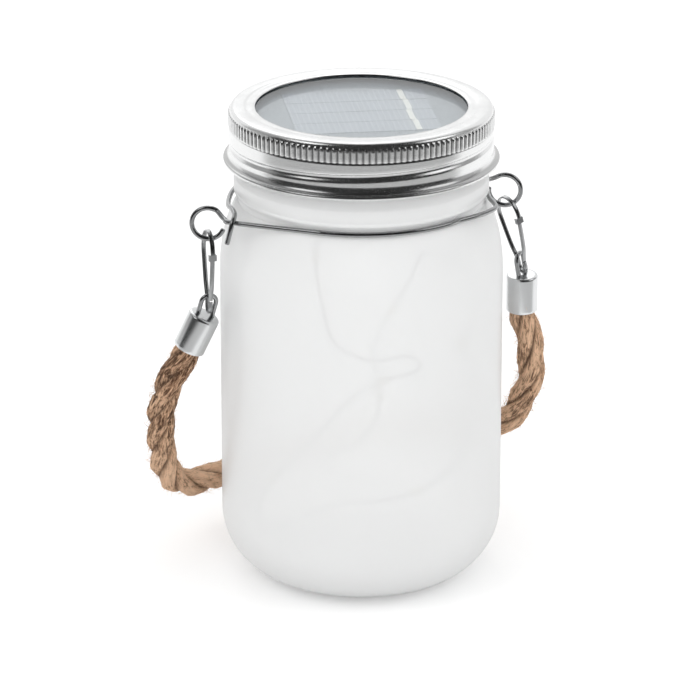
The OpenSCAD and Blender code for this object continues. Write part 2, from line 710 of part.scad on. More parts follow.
glass_jar();
neck_wire_front();
neck_wire_back();
light_string_wire();
light_beads();
sealing_gasket();
module_housing();
solar_board();
solar_cells();
tab_ribbon();
housing_cover();
cover_screws();
circuit_board();
board_parts();
panel_leads();
battery_cell();
battery_plate();
battery_spring();
switch_body();
switch_slider();
string_grommet();
window_disc();
screw_band();
snap_hook_left();
snap_hook_right();
snap_gate_left();
snap_gate_right();
cap_eye_left();
cap_eye_right();
end_cap_left();
end_cap_right();
rope();
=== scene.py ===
"""Looks of a solar mason jar lantern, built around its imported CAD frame."""
import math

import bmesh
import bpy
import numpy as np
from bpy.props import FloatProperty, FloatVectorProperty, IntProperty, PointerProperty
from mathutils import Matrix, Vector, noise


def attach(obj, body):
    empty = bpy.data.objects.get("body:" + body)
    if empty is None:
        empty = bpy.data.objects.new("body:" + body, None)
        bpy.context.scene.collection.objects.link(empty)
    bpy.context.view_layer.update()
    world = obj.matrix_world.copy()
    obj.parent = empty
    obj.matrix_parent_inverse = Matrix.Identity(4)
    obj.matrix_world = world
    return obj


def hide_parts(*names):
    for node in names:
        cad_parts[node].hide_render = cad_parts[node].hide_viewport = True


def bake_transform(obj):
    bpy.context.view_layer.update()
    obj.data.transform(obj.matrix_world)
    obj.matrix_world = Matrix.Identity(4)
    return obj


bl_info = {
    "name": "Solar Jar Lantern",
    "version": (1, 0, 0),
    "blender": (4, 5, 0),
    "location": "View3D > Sidebar > Lantern",
    "description": "Builds the rope, jar, band, wires and finishes of a solar jar lantern",
    "category": "Add Mesh",
}

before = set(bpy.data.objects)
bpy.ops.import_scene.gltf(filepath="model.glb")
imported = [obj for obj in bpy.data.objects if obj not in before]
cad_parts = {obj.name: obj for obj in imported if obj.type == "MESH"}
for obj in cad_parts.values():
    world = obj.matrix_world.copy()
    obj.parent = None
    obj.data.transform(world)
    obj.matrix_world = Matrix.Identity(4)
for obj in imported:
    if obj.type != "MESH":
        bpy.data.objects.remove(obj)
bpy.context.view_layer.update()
MM = 0.001
TAU = 2 * math.pi

# Heights and radii of the jar and its band, in millimetres
SHOULDER_Z, GROOVE_R, GROOVE_Z = 90.0, 34.4, 111.4
BODY_R, FOOT_R, CORNER_H = 39.7, 21.2, 19.0
BEAD_R, BEAD_Z, BEAD_TOP = 35.6, 113.3, 118.3
FINISH_R, MOUTH_R, RIM_Z = 34.2, 30.0, 131.4
GLASS_T, BASE_T, PUSH_UP = 3.0, 5.0, 1.0
PITCH = 5.08
BAND_TOP, HEM_Z, HEM_D, HEM_R = 137.75, 122.05, 1.25, 38.5
WALL_R, KNURL_ROOT, KNURL_TOP, KNURL_H = 36.75, 36.6, 136.25, 4.0
WINDOW_R, STEP_R, SHEET_T, TOP_ROUND = 29.5, 32.5, 0.5, 1.5


class LanternSizes(bpy.types.PropertyGroup):
    """Sizes of the lantern's drawn detail"""
    rib_count: IntProperty(name="Ribs", description="Knurled ribs round the band", default=132, min=60, max=160)
    rib_height: FloatProperty(name="Rib height", description="Height of a knurled rib",
                              default=0.4 * MM, unit="LENGTH", precision=5)
    thread_depth: FloatProperty(name="Thread depth", description="Depth of the band's rolled thread",
                                default=0.55 * MM, unit="LENGTH", precision=5)
    wire: FloatProperty(name="Hanger wire", description="Diameter of the hanger wires",
                        default=1.4 * MM, unit="LENGTH", precision=5)
    rope: FloatProperty(name="Rope", description="Diameter of the rope", default=7.4 * MM,
                        unit="LENGTH", precision=5)
    lay: FloatProperty(name="Rope lay", description="Length of one full turn of the rope's strands",
                       default=40 * MM, unit="LENGTH", precision=5)
    fibres: IntProperty(name="Loose fibres", description="Number of fibres standing off the rope",
                        default=2600, min=0, max=4000)
    string_wire: FloatProperty(name="Light string", description="Diameter of the light string's wire",
                               default=0.9 * MM, unit="LENGTH", precision=5)


class LanternColours(bpy.types.PropertyGroup):
    """Colours of the lantern"""
    glass: FloatVectorProperty(name="Frosted glass", description="Tint of the frosted jar",
                               subtype="COLOR", default=(0.955, 0.96, 0.958), min=0, max=1)
    band: FloatVectorProperty(name="Band", description="Metal of the screw band", subtype="COLOR",
                              default=(0.83, 0.835, 0.835), min=0, max=1)
    steel: FloatVectorProperty(name="Steel", description="Metal of wires and snap hooks", subtype="COLOR",
                               default=(0.38, 0.385, 0.39), min=0, max=1)
    chrome: FloatVectorProperty(name="Chrome", description="Metal of the end caps", subtype="COLOR",
                                default=(0.74, 0.75, 0.755), min=0, max=1)
    jute_light: FloatVectorProperty(name="Jute, light", description="Lighter fibres of the rope",
                                    subtype="COLOR", default=(0.80, 0.515, 0.33), min=0, max=1)
    jute_dark: FloatVectorProperty(name="Jute, dark", description="Darker fibres of the rope",
                                   subtype="COLOR", default=(0.26, 0.128, 0.07), min=0, max=1)
    panel: FloatVectorProperty(name="Solar cells", description="Coated solar cells", subtype="COLOR",
                               default=(0.36, 0.395, 0.45), min=0, max=1)
    plastic: FloatVectorProperty(name="Module", description="Moulded plastic of the solar module",
                                 subtype="COLOR", default=(0.74, 0.755, 0.76), min=0, max=1)


# ---- Shader helpers ----

class Shader:
    """A material's node tree with its Principled node at hand"""

    def __init__(self, name, **values):
        self.material = bpy.data.materials.new(name)
        self.material.use_nodes = True
        self.tree = self.material.node_tree
        self.surface = self.tree.nodes["Principled BSDF"]
        self.output = self.tree.nodes["Material Output"]
        for key, value in values.items():
            socket = self.surface.inputs[key.replace("_", " ")]
            if key == "Base_Color":
                value = (*value, 1)
            socket.default_value = value

    def add(self, kind, **settings):
        node = self.tree.nodes.new(kind)
        for key, value in settings.items():
            setattr(node, key, value)
        return node

    def link(self, a, b):
        self.tree.links.new(a, b)

    def place(self, scale=(1, 1, 1), attribute=None, rotation=(0, 0, 0)):
        """Object coordinates, or a mesh attribute, scaled"""
        if attribute:
            source = self.add("ShaderNodeAttribute", attribute_name=attribute).outputs["Vector"]
        else:
            source = self.add("ShaderNodeTexCoord").outputs["Object"]
        mapping = self.add("ShaderNodeMapping")
        mapping.inputs["Scale"].default_value = scale
        mapping.inputs["Rotation"].default_value = rotation
        self.link(source, mapping.inputs["Vector"])
        return mapping.outputs["Vector"]

    def noise(self, vector, scale, detail=4.0, roughness=0.55, distortion=0.0):
        node = self.add("ShaderNodeTexNoise")
        node.inputs["Scale"].default_value = scale
        node.inputs["Detail"].default_value = detail
        node.inputs["Roughness"].default_value = roughness
        node.inputs["Distortion"].default_value = distortion
        self.link(vector, node.inputs["Vector"])
        return node.outputs["Fac"]

    def ramp(self, fac, stops):
        node = self.add("ShaderNodeValToRGB")
        ramp = node.color_ramp
        while len(ramp.elements) < len(stops):
            ramp.elements.new(0.5)
        for element, (at, colour) in zip(ramp.elements, stops):
            element.position = at
            element.color = (*colour, 1) if hasattr(colour, "__len__") else (colour, colour, colour, 1)
        self.link(fac, node.inputs["Fac"])
        return node.outputs["Color"]

    def span(self, fac, low, high, source=(0.0, 1.0)):
        """Moves a value from one range to another"""
        node = self.add("ShaderNodeMapRange")
        for key, value in zip(("From Min", "From Max", "To Min", "To Max"), (*source, low, high)):
            node.inputs[key].default_value = value
        self.link(fac, node.inputs["Value"])
        return node.outputs["Result"]

    def maths(self, operation, a, b=None):
        node = self.add("ShaderNodeMath", operation=operation)
        for socket, value in zip(node.inputs, (a, b)):
            if isinstance(value, (int, float)):
                socket.default_value = value
            elif value is not None:
                self.link(value, socket)
        return node.outputs[0]

    def blend(self, fac, a, b, mode="MIX"):
        node = self.add("ShaderNodeMix", data_type="RGBA", blend_type=mode)
        for socket, value in ((node.inputs["Factor"], fac), (node.inputs["A"], a), (node.inputs["B"], b)):
            if isinstance(value, (int, float)):
                socket.default_value = value
            elif isinstance(value, bpy.types.NodeSocket):
                self.link(value, socket)
            else:
                socket.default_value = (*value, 1)
        return node.outputs["Result"]

    def colour(self, socket):
        self.link(socket, self.surface.inputs["Base Color"])

    def rough(self, socket):
        self.link(socket, self.surface.inputs["Roughness"])

    def bump(self, height, strength, distance, under=None):
        node = self.add("ShaderNodeBump")
        node.inputs["Strength"].default_value = strength
        node.inputs["Distance"].default_value = distance
        self.link(height, node.inputs["Height"])
        if under is not None:
            self.link(under, node.inputs["Normal"])
        self.link(node.outputs["Normal"], self.surface.inputs["Normal"])
        return node.outputs["Normal"]


def dress(node, material):
    """Gives a CAD node's object a material"""
    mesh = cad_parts[node].data
    mesh.materials.clear()
    mesh.materials.append(material)


# ---- Mesh helpers ----

def finish_mesh(bm, name, material, smooth=True, recalc=True):
    """Turns a bmesh into an object with outward faces"""
    if recalc:
        bmesh.ops.recalc_face_normals(bm, faces=bm.faces)
    mesh = bpy.data.meshes.new(name)
    bm.to_mesh(mesh)
    bm.free()
    mesh.polygons.foreach_set("use_smooth", [smooth] * len(mesh.polygons))
    mesh.materials.append(material)
    piece = bpy.data.objects.new(name, mesh)
    bpy.context.scene.collection.objects.link(piece)
    return piece


def mark_sharp(bm, degrees):
    """Marks the edges that bend by more than the given angle"""
    limit = math.radians(degrees)
    for edge in bm.edges:
        edge.smooth = not (len(edge.link_faces) == 2 and edge.calc_face_angle(0) > limit)


def spun(bm, profile, steps, closed=False):
    """Spins a profile of (radius, height) in millimetres into a shell round +Z, a twelfth at a time"""
    rim = [bm.verts.new((r * MM, 0, z * MM)) for r, z in profile]
    ends = list(zip(rim, rim[1:] + rim[:1])) if closed else list(zip(rim[:-1], rim[1:]))
    edges = [bm.edges.new(pair) for pair in ends]
    turn = {"cent": (0, 0, 0), "axis": (0, 0, 1), "dvec": (0, 0, 0)}
    bmesh.ops.spin(bm, geom=rim + edges, angle=TAU / 12, steps=steps // 12, **turn)
    bmesh.ops.spin(bm, geom=bm.verts[:] + bm.edges[:] + bm.faces[:], angle=TAU * 11 / 12, steps=11,
                   use_duplicate=True, **turn)
    bmesh.ops.remove_doubles(bm, verts=bm.verts, dist=1e-7)


def smooth_route(points, step):
    """Points of an even Catmull-Rom curve through the given ones"""
    p = np.array(points, float)
    ends = np.vstack([2 * p[0] - p[1], p, 2 * p[-1] - p[-2]])
    fine = []
    for a, b, c, d in zip(ends, ends[1:], ends[2:], ends[3:]):
        t = np.linspace(0, 1, 24, endpoint=False)[:, None]
        fine.append((2 * b + (c - a) * t + (2 * a - 5 * b + 4 * c - d) * t ** 2
                     + (3 * b - a - 3 * c + d) * t ** 3) / 2)
    fine = np.vstack(fine + [p[-1:]])
    run = np.r_[0, np.cumsum(np.linalg.norm(np.diff(fine, axis=0), axis=1))]
    at = np.linspace(0, run[-1], max(2, int(round(run[-1] / step)) + 1))
    return np.column_stack([np.interp(at, run, fine[:, k]) for k in range(3)])


def frames_along(points, side=(0, 0, 1)):
    """A 4x4 frame at each point, carried along without twist; +Z runs along the route"""
    p = [Vector(q) for q in points]
    out, s = [], Vector(side)
    for k, at in enumerate(p):
        t = (p[min(k + 1, len(p) - 1)] - p[max(k - 1, 0)]).normalized()
        s = (s - t * s.dot(t)).normalized()
        m = Matrix((s, t.cross(s), t)).transposed().to_4x4()
        m.translation = at
        out.append(m)
    return out


def sweep(bm, frames, loop, caps=True):
    """Extrudes a closed loop of (x, y) through a list of frames. Returns the rings of vertices"""
    start = [bm.verts.new(frames[0] @ Vector((x, y, 0))) for x, y in loop]
    edges = [bm.edges.new((a, b)) for a, b in zip(start, start[1:] + start[:1])]
    if caps:
        bm.faces.new(start)
    rings = [start]
    for place in frames[1:]:
        made = bmesh.ops.extrude_edge_only(bm, edges=edges)["geom"]
        fresh = {e for e in made if isinstance(e, bmesh.types.BMVert)}
        edges = [e for e in made if isinstance(e, bmesh.types.BMEdge)
                 and e.verts[0] in fresh and e.verts[1] in fresh]
        ring = [next(e.other_vert(v) for e in v.link_edges if e.other_vert(v) in fresh) for v in rings[-1]]
        for vert, (x, y) in zip(ring, loop):
            vert.co = place @ Vector((x, y, 0))
        rings.append(ring)
    if caps:
        bmesh.ops.contextual_create(bm, geom=edges)
    return rings


def circle(radius, sides):
    return [(radius * math.cos(TAU * k / sides), radius * math.sin(TAU * k / sides)) for k in range(sides)]


def rod(name, points, radius, material, sides=14, step=0.6 * MM, ends=0.35):
    """A round wire along a route, with softly rounded ends"""
    route = smooth_route(points, step)
    frames = frames_along(route)
    bm = bmesh.new()
    sweep(bm, frames, circle(radius, sides))
    rims = [e for f in bm.faces if len(f.verts) == sides for e in f.edges]
    bmesh.ops.bevel(bm, geom=rims, offset=radius * ends, offset_type="OFFSET", segments=2,
                    profile=0.5, affect="EDGES", material=-1)
    mark_sharp(bm, 50)
    return finish_mesh(bm, name, material)


def tube(bm, route, radius, sides, side=(0, 1, 0)):
    """Sweeps a round tube through even points and returns its rings"""
    return sweep(bm, frames_along(route, side), circle(radius, sides))


def settings():
    return bpy.context.scene.lantern_sizes, bpy.context.scene.lantern_colours


def replace_node(piece, body, slot, *nodes):
    """Lets a finished piece stand for CAD nodes and ride on their body"""
    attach(piece, body)
    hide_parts(*nodes)


# ---- Finishes ----

def cached(make):
    """Makes a finish once and hands the same one out again"""
    def ready():
        name = make.__name__
        return bpy.data.materials.get(name) or make(name)
    return ready


@cached
def frosted_glass(name):
    """Acid-frosted glass: milky, soft gloss, very fine grain"""
    _, colours = settings()
    m = Shader(name, Base_Color=colours.glass, Roughness=0.36, IOR=1.45, Transmission_Weight=0.27)
    cloud = m.noise(m.place(), 38, detail=3)
    grain = m.noise(m.place(), 3400, detail=1)
    tone = m.maths("ADD", m.maths("MULTIPLY", cloud, 0.8), m.maths("MULTIPLY", grain, 0.2))
    m.colour(m.ramp(tone, [(0.35, tuple(c * 0.985 for c in colours.glass)), (0.65, colours.glass)]))
    m.rough(m.span(cloud, 0.34, 0.38))
    return m.material


@cached
def inner_glass(name):
    """The jar's bare inner wall: smooth glass with faint mould waves"""
    _, colours = settings()
    m = Shader(name, Base_Color=colours.glass, Roughness=0.06, IOR=1.45, Transmission_Weight=1.0)
    wave = m.noise(m.place((1, 1, 0.4)), 30, detail=2)
    m.rough(m.span(wave, 0.04, 0.08))
    m.bump(wave, 0.05, 0.0002)
    return m.material


@cached
def clear_window(name):
    """Thin clear disc: sees through, with a soft sheen at a glance"""
    m = Shader(name)
    m.tree.nodes.remove(m.surface)
    clear = m.add("ShaderNodeBsdfTransparent")
    clear.inputs["Color"].default_value = (0.95, 0.965, 0.97, 1)
    gloss = m.add("ShaderNodeBsdfGlossy")
    gloss.inputs["Color"].default_value = (1, 1, 1, 1)
    scuffs = m.noise(m.place(), 900, detail=5, roughness=0.7)
    m.link(m.span(scuffs, 0.05, 0.13), gloss.inputs["Roughness"])
    facing = m.add("ShaderNodeLayerWeight").outputs["Facing"]
    mix = m.add("ShaderNodeMixShader")
    m.link(m.span(m.maths("POWER", facing, 5.0), 0.04, 1.0), mix.inputs["Fac"])
    m.link(clear.outputs["BSDF"], mix.inputs[1])
    m.link(gloss.outputs["BSDF"], mix.inputs[2])
    m.link(mix.outputs["Shader"], m.output.inputs["Surface"])
    return m.material


@cached
def zinc_band(name):
    """Rolled tinplate: bright, softly brushed round its turns, with painted shade in the rib valleys and the crease
    above the hem
    """
    _, colours = settings()
    m = Shader(name, Base_Color=colours.band, Metallic=1.0, Roughness=0.24, Anisotropic=0.0)
    grain = m.noise(m.place((60, 60, 900)), 6, detail=3)
    stain = m.noise(m.place(), 120, detail=4)
    sheet = m.ramp(stain, [(0.25, tuple(c * 0.93 for c in colours.band)), (0.75, colours.band)])
    # Painted shade: the colour falls to near black in the rib valleys and in the crease above the hem, standing in
    # for the shade that falls there
    hollow_shade = m.add("ShaderNodeAttribute", attribute_name="hollow_shade").outputs["Fac"]
    m.colour(m.blend(hollow_shade, sheet, tuple(c * 0.08 for c in colours.band)))
    m.rough(m.span(m.maths("ADD", grain, stain), 0.17, 0.30, (0.6, 1.4)))
    m.bump(grain, 0.10, 0.00003)
    return m.material


@cached
def steel_wire(name):
    """Drawn and plated steel wire with faint draw lines"""
    _, colours = settings()
    m = Shader(name, Base_Color=colours.steel, Metallic=1.0, Roughness=0.17)
    draw = m.noise(m.place((1, 1, 1)), 700, detail=4)
    m.colour(m.ramp(draw, [(0.3, tuple(c * 0.86 for c in colours.steel)), (0.7, colours.steel)]))
    m.rough(m.span(draw, 0.12, 0.24))
    m.bump(draw, 0.08, 0.00004)
    return m.material


@cached
def polished_cap(name):
    """Chromed end cap, mirror bright with light handling marks"""
    _, colours = settings()
    m = Shader(name, Base_Color=colours.chrome, Metallic=1.0, Roughness=0.24)
    marks = m.noise(m.place((1, 1, 0.3)), 260, detail=6, roughness=0.7)
    m.rough(m.span(marks, 0.19, 0.30))
    m.colour(m.ramp(marks, [(0.2, tuple(c * 0.94 for c in colours.chrome)), (0.8, colours.chrome)]))
    m.bump(marks, 0.03, 0.00003)
    return m.material


@cached
def jute(name):
    """Twisted jute: coarse mottled fibres along each yarn, with painted shade in the creases between strands and
    yarns
    """
    _, colours = settings()
    light, dark = tuple(colours.jute_light), tuple(colours.jute_dark)
    middle = tuple(0.45 * a + 0.55 * b for a, b in zip(light, dark))
    pale = tuple(min(1.0, 0.06 + c * 1.15) for c in light)
    m = Shader(name, Roughness=0.95, Specular_IOR_Level=0.12, Sheen_Weight=0.12, Sheen_Roughness=0.6)
    m.surface.inputs["Sheen Tint"].default_value = (1.0, 0.86, 0.68, 1)
    fibre = m.noise(m.place((1, 1, 0.16), attribute="lay"), 2200, detail=4, roughness=0.75, distortion=0.6)
    tuft = m.noise(m.place((1, 1, 0.30), attribute="lay"), 1000, detail=5, roughness=0.7, distortion=1.2)
    patch = m.noise(m.place(), 130, detail=4, roughness=0.6)
    tone = m.maths("ADD", m.maths("MULTIPLY", fibre, 0.4), m.maths("MULTIPLY", tuft, 0.6))
    tone = m.maths("ADD", tone, m.maths("MULTIPLY", m.maths("SUBTRACT", patch, 0.5), 0.30))
    # The rope grows paler towards the bottom of its loop and towards its right half
    paler_low_right = m.add("ShaderNodeAttribute", attribute_name="paler_low_right").outputs["Fac"]
    tone = m.maths("ADD", tone, m.maths("MULTIPLY", m.maths("SUBTRACT", paler_low_right, 0.4), 0.10))
    colour = m.ramp(tone, [(0.41, tuple(c * 0.3 for c in dark)), (0.445, dark), (0.475, middle),
                           (0.51, light), (0.60, pale)])
    colour = m.blend(m.maths("MULTIPLY", paler_low_right, 0.28), colour, pale)
    # Painted shade: the colour darkens to deep brown in the creases between the strands and along the yarn grooves
    depth = m.add("ShaderNodeAttribute", attribute_name="crease_shade").outputs["Fac"]
    m.colour(m.blend(depth, colour, tuple(c * 0.35 for c in dark)))
    m.bump(m.maths("ADD", m.maths("MULTIPLY", fibre, 0.6), tuft), 1.0, 0.0011)
    return m.material


@cached
def jute_fibre(name):
    """Loose jute hairs, paler than the rope"""
    _, colours = settings()
    m = Shader(name, Roughness=0.9, Specular_IOR_Level=0.15)
    m.colour(m.ramp(m.noise(m.place(), 400, detail=2),
                    [(0.38, tuple(c * 0.5 for c in colours.jute_light)),
                     (0.62, tuple(min(1, c * 1.25) for c in colours.jute_light))]))
    return m.material


@cached
def string_sheath(name):
    """Silvery enamelled string wire"""
    m = Shader(name, Base_Color=(0.30, 0.31, 0.32), Metallic=0.0, Roughness=0.4)
    tint = m.noise(m.place(), 300, detail=3)
    m.colour(m.ramp(tint, [(0.3, (0.20, 0.21, 0.22)), (0.7, (0.34, 0.35, 0.36))]))
    m.rough(m.span(tint, 0.32, 0.48))
    return m.material


@cached
def bead_resin(name):
    """Clear amber resin drop over a tiny light"""
    m = Shader(name, Base_Color=(0.93, 0.84, 0.58), Roughness=0.12, IOR=1.52, Transmission_Weight=0.5)
    core = m.noise(m.place(), 500, detail=2)
    m.colour(m.ramp(core, [(0.3, (0.88, 0.72, 0.36)), (0.7, (0.95, 0.90, 0.72))]))
    m.rough(m.span(core, 0.08, 0.18))
    return m.material


@cached
def cell_coating(name):
    """Blue-grey silicon with thin silver fingers across each cell"""
    _, colours = settings()
    cell = tuple(colours.panel)
    m = Shader(name, Base_Color=cell, Roughness=0.32, IOR=1.5, Coat_Weight=0.5, Coat_Roughness=0.12)
    turn = math.radians(12)
    place = m.place(rotation=(0, 0, turn))
    axes = m.add("ShaderNodeSeparateXYZ")
    m.link(place, axes.inputs["Vector"])
    finger = m.maths("PINGPONG", axes.outputs["X"], 0.00075)
    finger = m.span(finger, 1.0, 0.0, (0.0, 0.00016))
    grain = m.noise(m.place((1, 1, 1)), 180, detail=4)
    base = m.ramp(grain, [(0.3, tuple(c * 0.90 for c in cell)), (0.7, cell)])
    m.colour(m.blend(m.maths("MULTIPLY", finger, 0.35), base, (0.80, 0.82, 0.84)))
    m.rough(m.span(grain, 0.26, 0.40))
    m.bump(finger, 0.05, 0.00002)
    return m.material


@cached
def board_coating(name):
    """Dull dark-blue board behind the cells"""
    m = Shader(name, Roughness=0.5)
    weave = m.noise(m.place(), 900, detail=3)
    m.colour(m.ramp(weave, [(0.3, (0.27, 0.30, 0.33)), (0.7, (0.34, 0.37, 0.40))]))
    m.bump(weave, 0.1, 0.00003)
    return m.material


@cached
def tinned_ribbon(name):
    """Tinned copper ribbon"""
    m = Shader(name, Base_Color=(0.88, 0.86, 0.80), Metallic=0.6, Roughness=0.3)
    grain = m.noise(m.place(), 1500, detail=3)
    m.rough(m.span(grain, 0.22, 0.42))
    m.bump(grain, 0.2, 0.00004)
    return m.material


def plastic(name, colour, rough=0.45, grain=1400, spread=0.06):
    """Moulded plastic with a fine moulding texture"""
    m = Shader(name, Roughness=rough, IOR=1.46)
    fine, wide = m.noise(m.place(), grain, detail=3), m.noise(m.place(), 60, detail=2)
    m.colour(m.ramp(wide, [(0.3, tuple(c * (1 - spread) for c in colour)), (0.7, colour)]))
    m.rough(m.span(fine, rough - 0.06, rough + 0.06))
    m.bump(fine, 0.10, 0.00004)
    return m.material


def bare_metal(name, colour, rough=0.3):
    """Plated sheet or wire inside the module"""
    m = Shader(name, Metallic=1.0, Roughness=rough)
    grain = m.noise(m.place(), 900, detail=4)
    m.colour(m.ramp(grain, [(0.3, tuple(c * 0.85 for c in colour)), (0.7, colour)]))
    m.rough(m.span(grain, rough - 0.07, rough + 0.08))
    m.bump(grain, 0.08, 0.00004)
    return m.material


# ---- Camera ----

class CameraOperator(bpy.types.Operator):
    """Places the camera in front of the lantern"""
    bl_idname = "lantern.camera"
    bl_label = "Camera"

    def execute(self, context):
        lens = bpy.data.cameras.new("camera")
        lens.sensor_width, lens.lens = 36.0, 228.3
        lens.clip_start, lens.clip_end = 0.05, 50
        camera = bpy.data.objects.new("camera", lens)
        forward = Vector((0.31529, 0.88323, -0.34712)).normalized()
        camera.location = (-0.39837, -1.10650, 0.50044)
        camera.rotation_mode = "QUATERNION"
        camera.rotation_quaternion = forward.to_track_quat("-Z", "Y")
        context.scene.collection.objects.link(camera)
        context.scene.camera = camera
        return {"FINISHED"}


# ---- Rope ----

def lean_dir(a):
    """Direction in which a cap that leans by (about X, about Y) points down"""
    x, y = (math.radians(v) for v in a)
    return Vector((-math.cos(x) * math.sin(y), math.sin(x), -math.cos(x) * math.cos(y)))


CAP_LEN, CAP_D, ROPE_DEPTH = 11.0, 9.0, 7.0
CAP_LEFT, CAP_RIGHT = Vector((-45.8, 1.3, 80.8)), Vector((48.8, 0.4, 82.1))
LEAN_LEFT, LEAN_RIGHT = (12, 22), (5, -2)
ROPE_ROUTE = [
    (-53.5, 6.5, 62.5), (-55.2, 10.5, 54), (-54.8, 15.5, 45), (-53, 20.5, 35.5), (-50.3, 26, 26.5),
    (-45.5, 31, 20), (-38, 35.5, 17), (-29.5, 39.5, 16.7), (-20, 42.7, 17.6), (-10, 44.5, 19),
    (0, 45, 20.5), (10, 44.5, 22), (20, 42.5, 23), (30, 38.5, 24), (39, 33, 25), (46, 26, 27),
    (50.5, 19, 30), (52.5, 13, 36), (53.5, 8, 43.5), (53.5, 4.5, 51), (52.5, 2.5, 58), (51, 2, 65)]


def rope_centre(step):
    """Points of the rope's centreline, in metres"""
    ends = [tuple(cap + lean_dir(lean) * off) for cap, lean, off in (
        (CAP_LEFT, LEAN_LEFT, CAP_LEN - ROPE_DEPTH), (CAP_LEFT, LEAN_LEFT, CAP_LEN + 0.5),
        (CAP_RIGHT, LEAN_RIGHT, CAP_LEN + 0.5), (CAP_RIGHT, LEAN_RIGHT, CAP_LEN - ROPE_DEPTH))]
    return smooth_route(np.array(ends[:2] + ROPE_ROUTE + ends[2:]) * MM, step)


